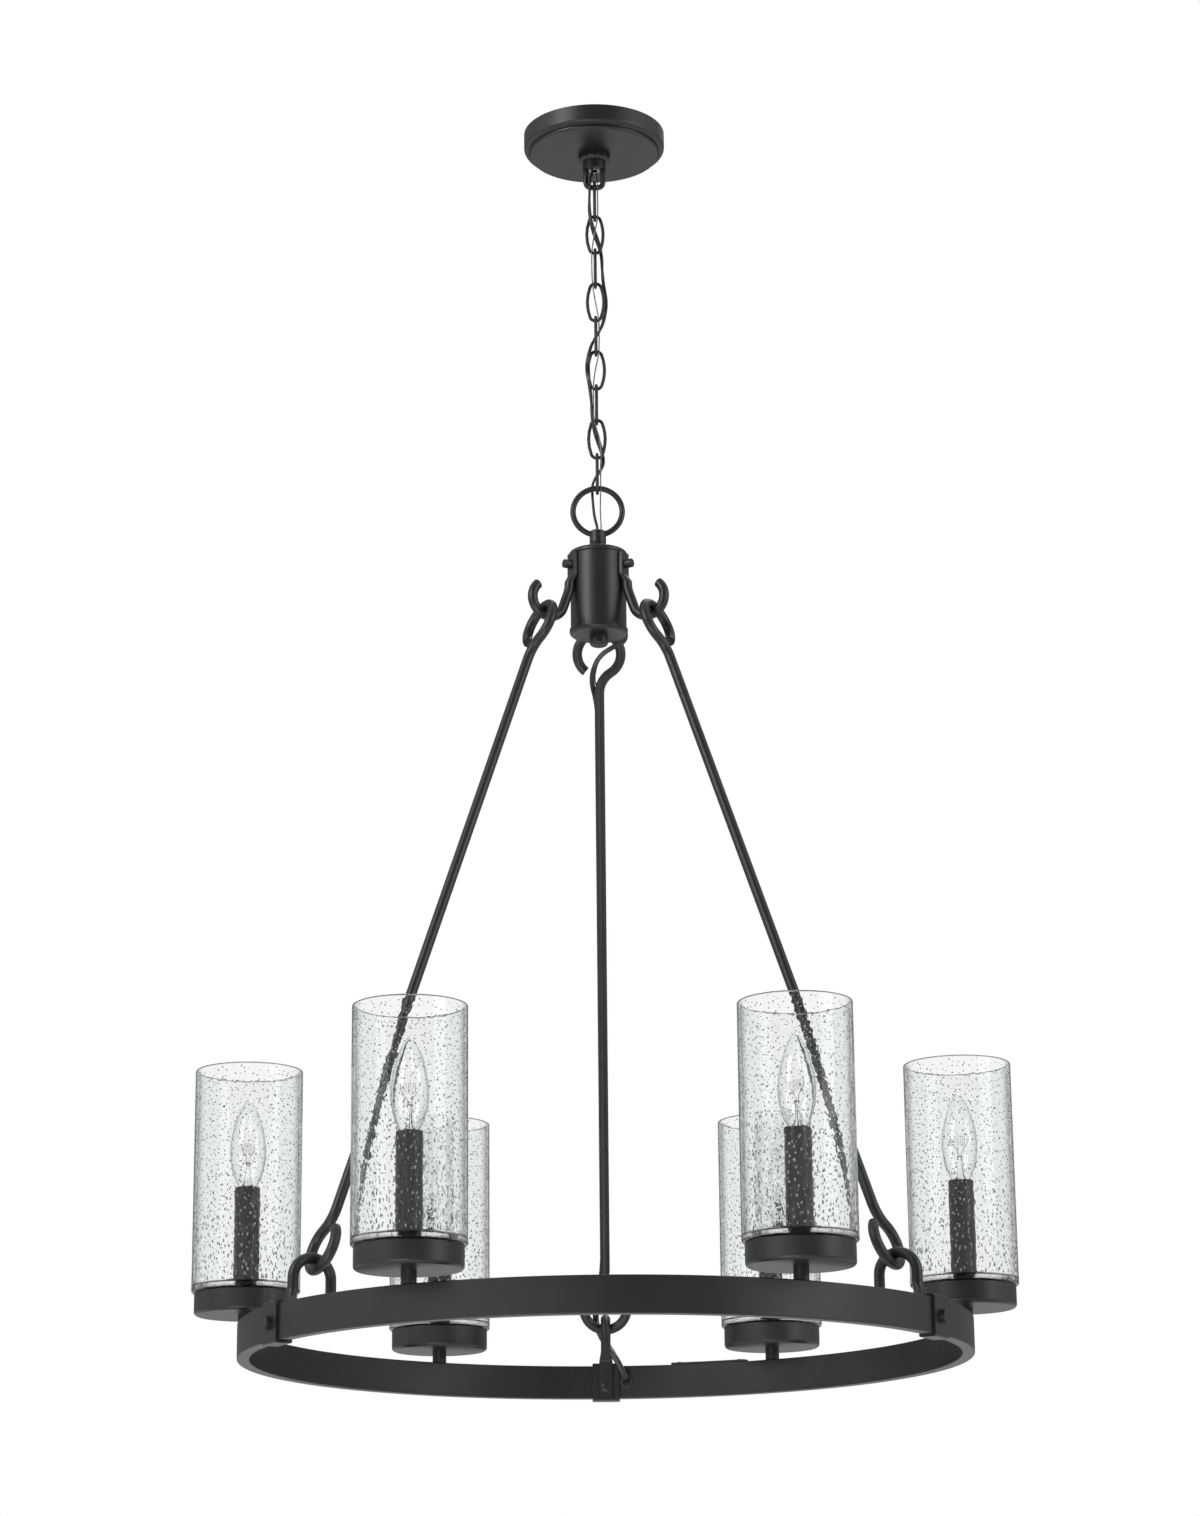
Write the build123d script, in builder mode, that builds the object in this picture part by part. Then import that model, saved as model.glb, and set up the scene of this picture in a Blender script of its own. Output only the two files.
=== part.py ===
from build123d import *
import os
from math import asin, atan2, cos, degrees, hypot, radians, sin, tan

os.makedirs("parts", exist_ok=True)

# Clearances
fit_gap = 0.1
swing_gap = 0.3

# Overall layout: the ceiling is z = 0 and the fixture hangs below it
hook_angles = {"rear": 90.0, "left": 210.0, "right": 330.0}
lamp_angles = [0.0, 60.0, 120.0, 180.0, 240.0, 300.0]

# Ceiling plate
canopy_radius = 65.6
canopy_rim = 17.0
canopy_step = 4.0
canopy_ledge = 5.4
canopy_wall = 1.4
canopy_edge = 3.5
crossbar_length = 108.0
crossbar_width = 20.0
crossbar_thick = 2.5
screw_spacing = 88.9
slot_length = 12.0
slot_width = 4.8
nipple_radius = 4.85
nipple_wall = 1.45
locknut_width = 15.0
locknut_height = 4.0
collar_radius = 14.9
collar_height = 7.5
collar_notches = 12
collar_notch_radius = 1.5
boss_radius = 10.9
boss_height = 8.1
loop_wire = 5.0
loop_radius = 7.9
loop_length = 19.3
loop_corner = 5.0

# Chain
link_count = 9
link_wire = 3.0
link_inner_length = 34.1
link_half_width = 7.6
link_end_radius = 5.4
link_cut = 0.5

# Cords
cord_radius = 1.5
bare_wire_radius = 0.55

# Hub
hub_ring_radius = 22.4
hub_ring_wire = 5.2
neck_radius = 7.5
neck_above = 3.5
neck_below = 8.0
waist_radius = 6.6
waist_height = 9.0
neck_flare = 8.8
cap_radius = 26.4
cap_height = 4.5
shell_radius = 25.2
shell_wall = 2.0
shell_height = 69.0
base_radius = 26.35
base_height = 5.5
base_edge = 3.5
base_spigot = 2.0
stud_radius = 2.4
base_nut_radius = 8.25
base_nut_height = 10.0

# Hooked rods
rod_wire = 9.0
eye_radius = 20.0
eye_neck = 36.0
eye_free_angle = -52.0
tab_width = 12.5
hub_tab_thick = 3.4
hub_tab_drop = 0.7
hub_taper = 9.0
hub_leg_straight = 1.0
hook_reach = 51.34
hook_inner_arc = 15.5
hook_outer_arc = 16.5
hook_outer_turn = 140.0
hook_lean = 20.0
hook_lean_radius = 25.0
hook_leg_gap = 0.3
bolt_radius = 4.0
bolt_stand = 7.0
bolt_below_cap = 11.5
hook_bottom_below_cap = 63.94
pull_angle = 20.0

# Ring
ring_drop = 1142.0
ring_radius = 308.0
ring_thick = 10.6
ring_height = 30.0
ring_wall = 1.5
ring_edge = 0.9
strap_width = 25.0
strap_thick = 2.2
arch_radius = 17.2
arch_height = 69.94
arch_offset = 30.54
arch_free_length = 15.5
ring_tab_thick = 3.0
ring_tab_low = 2.0
ring_taper_low = 33.0
ring_taper_high = 44.0
rivet_height = 9.5
rivet_head_radius = 4.95
rivet_head = 1.6
shank_radius = 2.4
screw_head_radius = 5.7
screw_head = 4.8
screw_head_edge = 0.6
cover_start = 65.0
cover_end = 78.4
cover_thick = 2.0
cover_screw_inset = 1.3
cover_screw_radius = 2.2
cover_screw_head = 0.8
cover_shank_radius = 1.4
grommet_side = 19.0
grommet_radius = 5.65
grommet_lip = 1.5
grommet_body = 4.4
grommet_bore = 3.5
harness_radius = 2.2

# Lamps
stem_radius = 6.35
stem_height = 11.0
stem_bore = 2.0
tenon_radius = 3.2
spigot_radius = 4.4
spigot_height = 9.0
cup_radius = 44.0
cup_height = 19.0
cup_wall = 1.6
cup_floor = 2.0
cup_edge = 3.0
glass_radius = 46.5
glass_wall = 2.5
glass_floor = 5.0
glass_height = 193.0
glass_edge = 2.0
holder_radius = 9.3
holder_bore = 6.3
holder_depth = 23.5
sleeve_radius = 11.0
sleeve_wall = 1.2
sleeve_height = 82.0
sleeve_above_holder = 2.0
retainer_radius = 17.0
retainer_height = 4.0
bulb_tip_height = 3.0
bulb_radius = 15.6
bulb_length = 78.6
bulb_wall = 0.9
bulb_neck = 6.6
bulb_mount_radius = 2.2
bulb_mount_height = 24.0
# Candle outline: share of the bulb's radius, share of its length
bulb_shares = [
    (0.635, 0.079),
    (0.815, 0.173),
    (0.949, 0.285),
    (1.0, 0.4),
    (0.958, 0.535),
    (0.82, 0.675),
    (0.635, 0.8),
    (0.423, 0.897),
    (0.205, 0.968),
]


def radial_plane(angle):
    a = radians(angle)
    return Plane(origin=(0, 0, 0), x_dir=(cos(a), sin(a), 0), z_dir=(sin(a), -cos(a), 0))


def at_angle(angle, radius, z):
    a = radians(angle)
    return (radius * cos(a), radius * sin(a), z)


def radial_out(angle, radius, z):
    a = radians(angle)
    return Plane(origin=at_angle(angle, radius, z), x_dir=(-sin(a), cos(a), 0), z_dir=(cos(a), sin(a), 0))


def level(angle, radius, z):
    a = radians(angle)
    return Plane(origin=at_angle(angle, radius, z), x_dir=(-sin(a), cos(a), 0), z_dir=(0, 0, 1))


def bend_radii(points):
    radii = []
    for before, here, after in zip(points, points[1:], points[2:]):
        run_in = Vector(*here) - Vector(*before)
        run_out = Vector(*after) - Vector(*here)
        turn = radians(run_in.get_angle(run_out))
        radii.append(0.45 * min(run_in.length, run_out.length) / tan(turn / 2))
    return radii


def round_cord(points, radius):
    with BuildPart() as cord:
        with BuildLine() as route:
            FilletPolyline(*points, radius=bend_radii(points))
        with BuildSketch(Plane(origin=route.wire() @ 0, z_dir=route.wire() % 0)):
            Circle(radius)
        sweep(path=route.wire())
    return cord.part


# Ceiling plate: crossbar, canopy, nipple, locknut, collar and loop
slot_offset = screw_spacing / 2
with BuildPart() as mounting_crossbar:
    with BuildSketch(Plane.XY):
        SlotOverall(crossbar_length, crossbar_width)
        Circle(nipple_radius + fit_gap, mode=Mode.SUBTRACT)
        with Locations((-slot_offset, 0), (slot_offset, 0)):
            SlotOverall(slot_length, slot_width, mode=Mode.SUBTRACT)
    extrude(amount=-crossbar_thick)
mounting_crossbar.part.label = "mounting_crossbar"
export_step(mounting_crossbar.part, "parts/mounting_crossbar.step")

canopy_low = -(canopy_rim + canopy_step)
canopy_face = canopy_radius - canopy_ledge


def canopy_outline(inset, top):
    wide = canopy_radius - inset
    face = canopy_face - inset
    shelf = -canopy_rim + inset
    low = canopy_low + inset
    with BuildSketch(Plane.XZ) as outline:
        with BuildLine():
            Polyline((0, top), (wide, top), (wide, shelf), (face, shelf), (face, low), (0, low), close=True)
        make_face()
        fillet(outline.vertices().group_by(Axis.X)[1].sort_by(Axis.Y)[0], canopy_step / 2)
        fillet(outline.vertices().group_by(Axis.X)[-1].sort_by(Axis.Y)[0], canopy_edge - inset)
    return outline.sketch


with BuildPart() as canopy:
    revolve(profiles=canopy_outline(0, 0), axis=Axis.Z)
    revolve(profiles=canopy_outline(canopy_wall, 1), axis=Axis.Z, mode=Mode.SUBTRACT)
    Cylinder(nipple_radius + fit_gap, 4 * canopy_rim, mode=Mode.SUBTRACT)
canopy.part.label = "canopy"
export_step(canopy.part, "parts/canopy.step")

collar_low = canopy_low - collar_height
nipple_low = collar_low - boss_height
with BuildPart() as threaded_nipple:
    with BuildSketch(Plane.XY):
        Circle(nipple_radius)
        Circle(nipple_radius - nipple_wall, mode=Mode.SUBTRACT)
    extrude(amount=nipple_low)
threaded_nipple.part.label = "threaded_nipple"
export_step(threaded_nipple.part, "parts/threaded_nipple.step")

with BuildPart() as nipple_locknut:
    with BuildSketch(Plane.XY.offset(-crossbar_thick)):
        RegularPolygon(locknut_width / 2, 6, major_radius=False)
        Circle(nipple_radius + fit_gap, mode=Mode.SUBTRACT)
    extrude(amount=-locknut_height)
nipple_locknut.part.label = "nipple_locknut"
export_step(nipple_locknut.part, "parts/nipple_locknut.step")

with BuildPart() as canopy_collar:
    with BuildSketch(Plane.XY.offset(canopy_low)):
        Circle(collar_radius)
        Circle(nipple_radius + fit_gap, mode=Mode.SUBTRACT)
        with PolarLocations(collar_radius + collar_notch_radius / 2, collar_notches):
            Circle(collar_notch_radius, mode=Mode.SUBTRACT)
    extrude(amount=-collar_height)
    with BuildSketch(Plane.XZ):
        with BuildLine():
            Polyline(
                (collar_radius - 2.5, collar_low),
                (collar_radius + 1, collar_low),
                (collar_radius + 1, collar_low + 3.5),
                close=True,
            )
        make_face()
    revolve(axis=Axis.Z, mode=Mode.SUBTRACT)
canopy_collar.part.label = "canopy_collar"
export_step(canopy_collar.part, "parts/canopy_collar.step")

loop_bar = collar_low - boss_height - loop_length + loop_wire / 2
with BuildPart() as canopy_loop:
    with BuildLine(Plane.XZ) as loop_path:
        FilletPolyline(
            (loop_radius, collar_low - boss_height / 2),
            (loop_radius, loop_bar),
            (-loop_radius, loop_bar),
            (-loop_radius, collar_low - boss_height / 2),
            radius=loop_corner,
        )
    with BuildSketch(Plane(origin=loop_path.wire() @ 0, z_dir=loop_path.wire() % 0)):
        Circle(loop_wire / 2)
    sweep(path=loop_path.wire())
    with BuildSketch(Plane.XY.offset(collar_low)):
        Circle(boss_radius)
    extrude(amount=-boss_height)
    with BuildSketch(Plane.XY.offset(collar_low)):
        Circle(nipple_radius + fit_gap)
    extrude(amount=-boss_height, mode=Mode.SUBTRACT)
canopy_loop.part.label = "canopy_loop"
export_step(canopy_loop.part, "parts/canopy_loop.step")

# Chain
link_pitch = link_inner_length - swing_gap
link_half = (link_inner_length + link_wire) / 2
end_offset = link_half - link_end_radius
side_radius = (end_offset**2 + link_half_width**2 - link_end_radius**2) / (
    2 * (link_half_width - link_end_radius)
)
side_offset = side_radius - link_half_width
side_angle = degrees(atan2(end_offset, side_offset))
cut_angle = degrees(asin(link_cut / 2 / side_radius))
first_link = loop_bar + loop_wire / 2 + swing_gap - link_inner_length / 2


def link_centre(number):
    return first_link - (number - 1) * link_pitch


for number in range(1, link_count + 1):
    middle = link_centre(number)
    facing = Plane.YZ if number % 2 else Plane.XZ
    with BuildPart() as chain_link:
        with BuildLine(facing) as oval:
            CenterArc((-side_offset, middle), side_radius, cut_angle, side_angle - cut_angle)
            CenterArc((0, middle + end_offset), link_end_radius, side_angle, 180 - 2 * side_angle)
            CenterArc((side_offset, middle), side_radius, 180 - side_angle, 2 * side_angle)
            CenterArc((0, middle - end_offset), link_end_radius, 180 + side_angle, 180 - 2 * side_angle)
            CenterArc((-side_offset, middle), side_radius, -side_angle, side_angle - cut_angle)
        with BuildSketch(Plane(origin=oval.wire() @ 0, z_dir=oval.wire() % 0)):
            Circle(link_wire / 2)
        sweep(path=oval.wire())
    chain_link.part.label = f"chain_link_{number}"
    export_step(chain_link.part, f"parts/chain_link_{number}.step")

# Hub
last_link_low = link_centre(link_count) - link_inner_length / 2
hub_ring_centre = last_link_low + swing_gap + hub_ring_wire / 2 - hub_ring_radius
hub_ring_low = hub_ring_centre - hub_ring_radius
neck_high = hub_ring_low + neck_above
neck_collar_low = hub_ring_low - neck_below
cap_high = neck_collar_low - waist_height
cap_low = cap_high - cap_height
shell_low = cap_low - shell_height
base_low = shell_low - base_height
nut_low = base_low - base_nut_height
cord_back = hub_ring_wire / 2 + cord_radius + swing_gap
wire_side = cord_radius + bare_wire_radius + 4 * swing_gap
cord_hole = cord_radius + fit_gap
wire_hole = bare_wire_radius + fit_gap

with BuildPart() as hub_ring:
    with Locations(Location((0, 0, hub_ring_centre), (90, 0, 0))):
        Torus(hub_ring_radius, hub_ring_wire / 2)
hub_ring.part.label = "hub_ring"
export_step(hub_ring.part, "parts/hub_ring.step")

with BuildPart() as hub_neck:
    with BuildSketch(Plane.XZ) as neck_outline:
        with BuildLine():
            foot = Line((0, cap_high), (neck_flare, cap_high))
            cove = ThreePointArc(
                foot @ 1,
                (waist_radius + 0.5, cap_high + waist_height * 0.4),
                (waist_radius, cap_high + waist_height * 0.75),
            )
            Polyline(
                cove @ 1,
                (neck_radius, neck_collar_low),
                (neck_radius, neck_high),
                (0, neck_high),
                foot @ 0,
            )
        make_face()
        fillet(neck_outline.vertices().group_by(Axis.Y)[-1].sort_by(Axis.X)[-1:], 1.5)
    revolve(axis=Axis.Z)
    with BuildSketch(Plane.XY.offset(cap_high)):
        Circle(stud_radius + fit_gap)
    extrude(amount=waist_height, mode=Mode.SUBTRACT)
    with BuildSketch(Plane.XY.offset(cap_high)):
        with Locations((0, cord_back)):
            Circle(cord_hole)
        with Locations((wire_side, cord_back)):
            Circle(wire_hole)
    extrude(amount=neck_high - cap_high, mode=Mode.SUBTRACT)
    with Locations(Location((0, 0, hub_ring_centre), (90, 0, 0))):
        Torus(hub_ring_radius, hub_ring_wire / 2 + fit_gap, mode=Mode.SUBTRACT)
hub_neck.part.label = "hub_neck"
export_step(hub_neck.part, "parts/hub_neck.step")

with BuildPart() as hub_cap:
    with BuildSketch(Plane.XY.offset(cap_low)):
        Circle(cap_radius)
        Circle(stud_radius + fit_gap, mode=Mode.SUBTRACT)
        with Locations((0, cord_back)):
            Circle(cord_hole, mode=Mode.SUBTRACT)
        with Locations((wire_side, cord_back)):
            Circle(wire_hole, mode=Mode.SUBTRACT)
    extrude(amount=cap_height)
    rim = hub_cap.edges().filter_by(GeomType.CIRCLE).sort_by(lambda e: e.radius)[-2:]
    fillet(rim.sort_by(Axis.Z)[-1:], cap_height * 0.6)
    under = hub_cap.edges().filter_by(GeomType.CIRCLE).group_by(Axis.Z)[0]
    fillet(under.sort_by(lambda e: e.radius)[-1:], 0.6)
hub_cap.part.label = "hub_cap"
export_step(hub_cap.part, "parts/hub_cap.step")

exit_angle = 45.0
exit_height = shell_low + 8.5
exit_radius = 3.2
bolt_height = cap_low - bolt_below_cap
with BuildPart() as hub_shell:
    with BuildSketch(Plane.XY.offset(shell_low)):
        Circle(shell_radius)
        Circle(shell_radius - shell_wall, mode=Mode.SUBTRACT)
    extrude(amount=shell_height)
    for angle in hook_angles.values():
        with BuildSketch(radial_out(angle, shell_radius - 2 * shell_wall, bolt_height)):
            Circle(bolt_radius + fit_gap)
        extrude(amount=3 * shell_wall, mode=Mode.SUBTRACT)
    with BuildSketch(radial_out(exit_angle, shell_radius - 2 * shell_wall, exit_height)):
        Circle(exit_radius)
    extrude(amount=3 * shell_wall, mode=Mode.SUBTRACT)
hub_shell.part.label = "hub_shell"
export_step(hub_shell.part, "parts/hub_shell.step")

with BuildPart() as hub_base_plate:
    with BuildSketch(Plane.XY.offset(base_low)):
        Circle(base_radius)
    extrude(amount=base_height)
    fillet(hub_base_plate.edges().group_by(Axis.Z)[0], base_edge)
    with BuildSketch(Plane.XY.offset(shell_low)):
        Circle(shell_radius - shell_wall - fit_gap)
    extrude(amount=base_spigot)
    with BuildSketch(Plane.XY.offset(base_low)):
        Circle(stud_radius + fit_gap)
    extrude(amount=base_height + base_spigot, mode=Mode.SUBTRACT)
hub_base_plate.part.label = "hub_base_plate"
export_step(hub_base_plate.part, "parts/hub_base_plate.step")

stud_high = cap_high + waist_height / 2
stud_low = nut_low + base_nut_height / 3
with BuildPart() as hub_stud:
    with BuildSketch(Plane.XY.offset(stud_low)):
        Circle(stud_radius)
    extrude(amount=stud_high - stud_low)
hub_stud.part.label = "hub_stud"
export_step(hub_stud.part, "parts/hub_stud.step")

with BuildPart() as hub_base_nut:
    with BuildSketch(Plane.XY.offset(nut_low)):
        Circle(base_nut_radius)
    extrude(amount=base_nut_height)
    fillet(hub_base_nut.edges().group_by(Axis.Z)[0], base_nut_height * 0.3)
    with BuildSketch(Plane.XY.offset(stud_low)):
        Circle(stud_radius + fit_gap)
    extrude(amount=base_nut_height, mode=Mode.SUBTRACT)
hub_base_nut.part.label = "hub_base_nut"
export_step(hub_base_nut.part, "parts/hub_base_nut.step")

tab_back = shell_radius + fit_gap
tab_front = tab_back + hub_tab_thick
tab_high = cap_low - hub_tab_drop
leg_radius = shell_radius + rod_wire / 2 + hook_leg_gap
hook_bottom = cap_low - hook_bottom_below_cap
arc_start_radius = hook_reach - hook_inner_arc * cos(radians(hook_lean))
arc_start_height = hook_bottom + hook_inner_arc * (1 - sin(radians(hook_lean)))
lean_run = (
    arc_start_radius - leg_radius - hook_lean_radius * (1 - cos(radians(hook_lean)))
) / sin(radians(hook_lean))
lean_drop = lean_run * cos(radians(hook_lean)) + hook_lean_radius * sin(radians(hook_lean))
lean_start = arc_start_height + lean_drop
tab_low = lean_start + hub_leg_straight + hub_taper
hub_tab_length = tab_high - tab_low
for side, angle in hook_angles.items():
    with BuildPart() as hub_hook:
        with BuildSketch(radial_plane(angle)):
            with Locations(((tab_front + shell_radius - shell_wall) / 2, (tab_high + tab_low) / 2)):
                Rectangle(tab_front - shell_radius + shell_wall, hub_tab_length)
        extrude(amount=tab_width / 2, both=True)
        with Locations((0, 0, (tab_high + tab_low) / 2)):
            Cylinder(tab_back, 2 * hub_tab_length, mode=Mode.SUBTRACT)
        with BuildSketch(radial_out(angle, tab_back - 2, bolt_height)):
            Circle(bolt_radius + fit_gap)
        extrude(amount=hub_tab_thick + 4, mode=Mode.SUBTRACT)
        with BuildSketch(level(angle, (tab_back + tab_front) / 2, tab_low)):
            Rectangle(tab_width, hub_tab_thick)
        with BuildSketch(level(angle, leg_radius, tab_low - hub_taper)):
            Circle(rod_wire / 2)
        loft()
        with BuildLine(radial_plane(angle)) as hook_path:
            leg = Line((leg_radius, tab_low - hub_taper), (leg_radius, lean_start))
            lean = JernArc(leg @ 1, leg % 1, hook_lean_radius, hook_lean)
            slant = PolarLine(lean @ 1, lean_run, hook_lean - 90)
            inner = JernArc(slant @ 1, slant % 1, hook_inner_arc, 90 - hook_lean)
            JernArc(inner @ 1, inner % 1, hook_outer_arc, hook_outer_turn)
        with BuildSketch(Plane(origin=hook_path.wire() @ 0, z_dir=hook_path.wire() % 0)):
            Circle(rod_wire / 2)
        sweep(path=hook_path.wire())
    hub_hook.part.label = f"hub_hook_{side}"
    export_step(hub_hook.part, f"parts/hub_hook_{side}.step")

with BuildPart() as hub_hook_bolts:
    for angle in hook_angles.values():
        with BuildSketch(radial_out(angle, shell_radius - 2 * shell_wall, bolt_height)):
            Circle(bolt_radius)
        extrude(amount=tab_front + bolt_stand - shell_radius + 2 * shell_wall)
hub_hook_bolts.part.label = "hub_hook_bolts"
export_step(hub_hook_bolts.part, "parts/hub_hook_bolts.step")

# Rods between the hub's hooks and the ring's hooks
ring_low = -ring_drop
ring_high = ring_low + ring_height
ring_inner = ring_radius - ring_thick / 2
ring_outer = ring_radius + ring_thick / 2
arch_mid = ring_radius - arch_offset
arch_top = ring_low + arch_height
upper_slack = hook_outer_arc - rod_wire - swing_gap
lower_slack = arch_radius - rod_wire - swing_gap
pull_sine = sin(radians(pull_angle))
pull_cosine = cos(radians(pull_angle))
upper_reach = hook_reach + upper_slack * pull_sine
upper_pivot = hook_bottom + hook_outer_arc - upper_slack * pull_cosine
lower_reach = arch_mid - lower_slack * pull_sine
lower_pivot = arch_top - arch_radius + lower_slack * pull_cosine
rod_length = hypot(lower_reach - upper_reach, upper_pivot - lower_pivot)
rod_sine = (lower_reach - upper_reach) / rod_length
rod_cosine = (upper_pivot - lower_pivot) / rod_length
rod_middle = (lower_reach + upper_reach) / 2
rod_middle_height = (upper_pivot + lower_pivot) / 2
eye_height = rod_length / 2 - eye_radius
shank_half = eye_height - eye_neck
neck_arc = (eye_neck**2 - eye_radius**2) / (2 * eye_radius)
neck_turn = degrees(atan2(eye_neck, neck_arc))
eye_turn = 180 + neck_turn - eye_free_angle
free_x = eye_radius * cos(radians(eye_free_angle))
free_y = eye_height + eye_radius * sin(radians(eye_free_angle))
free_heading = (-sin(radians(eye_free_angle)), cos(radians(eye_free_angle)))
for side, angle in hook_angles.items():
    a = radians(angle)
    flip = -1 if side == "left" else 1
    across = Vector(-sin(a), cos(a), 0) * flip
    along = Vector(-rod_sine * cos(a), -rod_sine * sin(a), rod_cosine)
    lie = Plane(
        origin=at_angle(angle, rod_middle, rod_middle_height),
        x_dir=across,
        z_dir=across.cross(along),
    )
    with BuildPart() as rod:
        with BuildLine(lie) as rod_path:
            JernArc((free_x, free_y), free_heading, eye_radius, eye_turn)
            JernArc((0, shank_half), (0, 1), neck_arc, neck_turn)
            Line((0, shank_half), (0, -shank_half))
            JernArc((0, -shank_half), (0, -1), neck_arc, neck_turn)
            JernArc((-free_x, -free_y), (-free_heading[0], -free_heading[1]), eye_radius, eye_turn)
        with BuildSketch(Plane(origin=rod_path.wire() @ 0, z_dir=rod_path.wire() % 0)):
            Circle(rod_wire / 2)
        sweep(path=rod_path.wire())
    rod.part.label = f"rod_{side}"
    export_step(rod.part, f"parts/rod_{side}.step")

# Ring with its straps, hooks, screws, cover and grommet
strap_half = degrees(strap_width / 2 / ring_radius)
strap_inner = ring_inner - fit_gap - strap_thick
strap_outer = ring_outer + fit_gap + strap_thick
tab_outer = strap_inner - fit_gap
tab_inner = tab_outer - ring_tab_thick
rivet_z = ring_low + rivet_height
ring_middle = ring_low + ring_height / 2
cover_screws = [cover_start + cover_screw_inset, cover_end - cover_screw_inset]
grommet_angle = hook_angles["rear"] - degrees(asin(grommet_side / ring_inner))

with BuildPart() as ring_tube:
    with BuildSketch(Plane.XZ) as ring_section:
        with Locations((ring_radius, ring_middle)):
            Rectangle(ring_thick, ring_height)
        fillet(ring_section.vertices(), ring_edge)
    revolve(axis=Axis.Z)
    with BuildSketch(Plane.XZ):
        with Locations((ring_radius, ring_middle)):
            Rectangle(ring_thick - 2 * ring_wall, ring_height - 2 * ring_wall)
    revolve(axis=Axis.Z, mode=Mode.SUBTRACT)
    for angle in hook_angles.values():
        with BuildSketch(radial_out(angle, ring_inner - ring_wall, rivet_z)):
            Circle(shank_radius + fit_gap)
        extrude(amount=3 * ring_wall, mode=Mode.SUBTRACT)
        with BuildSketch(radial_out(angle, ring_outer - 2 * ring_wall, ring_middle)):
            Circle(shank_radius + fit_gap)
        extrude(amount=3 * ring_wall, mode=Mode.SUBTRACT)
    with BuildSketch(radial_out(grommet_angle, ring_inner - ring_wall, ring_middle)):
        Circle(grommet_body + fit_gap)
    extrude(amount=3 * ring_wall, mode=Mode.SUBTRACT)
    with BuildSketch(Plane.XY.offset(ring_high + ring_wall)):
        with PolarLocations(ring_radius, len(lamp_angles)):
            Circle(tenon_radius + fit_gap)
        for angle in cover_screws:
            with Locations(at_angle(angle, ring_radius, 0)):
                Circle(cover_shank_radius + fit_gap)
    extrude(amount=-3 * ring_wall, mode=Mode.SUBTRACT)
ring_tube.part.label = "ring_tube"
export_step(ring_tube.part, "parts/ring_tube.step")

with BuildPart() as ring_harness:
    with Locations((0, 0, ring_low + ring_wall + harness_radius + fit_gap)):
        Torus(ring_radius, harness_radius)
ring_harness.part.label = "ring_harness"
export_step(ring_harness.part, "parts/ring_harness.step")

with BuildPart() as ring_straps:
    for angle in hook_angles.values():
        with BuildSketch(radial_plane(angle - strap_half)):
            with Locations((ring_radius, ring_middle)):
                Rectangle(strap_outer - strap_inner, ring_height + 2 * fit_gap + 2 * strap_thick)
                Rectangle(ring_thick + 2 * fit_gap, ring_height + 2 * fit_gap, mode=Mode.SUBTRACT)
        revolve(axis=Axis.Z, revolution_arc=2 * strap_half)
    for angle in hook_angles.values():
        with BuildSketch(radial_out(angle, strap_inner - strap_thick, rivet_z)):
            Circle(shank_radius + fit_gap)
        extrude(amount=3 * strap_thick, mode=Mode.SUBTRACT)
        with BuildSketch(radial_out(angle, ring_outer, ring_middle)):
            Circle(shank_radius + fit_gap)
        extrude(amount=3 * strap_thick, mode=Mode.SUBTRACT)
ring_straps.part.label = "ring_straps"
export_step(ring_straps.part, "parts/ring_straps.step")

arch_centre = arch_top - arch_radius
arch_inner_leg = arch_mid - arch_radius
arch_outer_leg = arch_mid + arch_radius
taper_low = ring_low + ring_taper_low
taper_high = ring_low + ring_taper_high
ring_tab_foot = ring_low + ring_tab_low
for side, angle in hook_angles.items():
    with BuildPart() as ring_hook:
        with BuildLine(radial_plane(angle)) as arch_path:
            free = Line((arch_inner_leg, arch_centre - arch_free_length), (arch_inner_leg, arch_centre))
            over = JernArc(free @ 1, free % 1, arch_radius, -180)
            Line(over @ 1, (arch_outer_leg, taper_high))
        with BuildSketch(Plane(origin=arch_path.wire() @ 0, z_dir=arch_path.wire() % 0)):
            Circle(rod_wire / 2)
        sweep(path=arch_path.wire())
        with BuildSketch(level(angle, arch_outer_leg, taper_high)):
            Circle(rod_wire / 2)
        with BuildSketch(level(angle, (tab_inner + tab_outer) / 2, taper_low)):
            Rectangle(tab_width, ring_tab_thick)
        loft()
        with BuildSketch(level(angle, (tab_inner + tab_outer) / 2, ring_tab_foot)):
            Rectangle(tab_width, ring_tab_thick)
        extrude(amount=taper_low - ring_tab_foot)
        with BuildSketch(radial_out(angle, tab_inner - ring_tab_thick, rivet_z)):
            Circle(shank_radius + fit_gap)
        extrude(amount=3 * ring_tab_thick, mode=Mode.SUBTRACT)
    ring_hook.part.label = f"ring_hook_{side}"
    export_step(ring_hook.part, f"parts/ring_hook_{side}.step")

with BuildPart() as hook_rivets:
    for angle in hook_angles.values():
        with BuildSketch(radial_out(angle, tab_inner - rivet_head, rivet_z)):
            Circle(rivet_head_radius)
        extrude(amount=rivet_head)
        with BuildSketch(radial_out(angle, tab_inner - rivet_head / 2, rivet_z)):
            Circle(shank_radius)
        extrude(amount=ring_inner + ring_wall + 1 - tab_inner + rivet_head / 2)
hook_rivets.part.label = "hook_rivets"
export_step(hook_rivets.part, "parts/hook_rivets.step")

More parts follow.
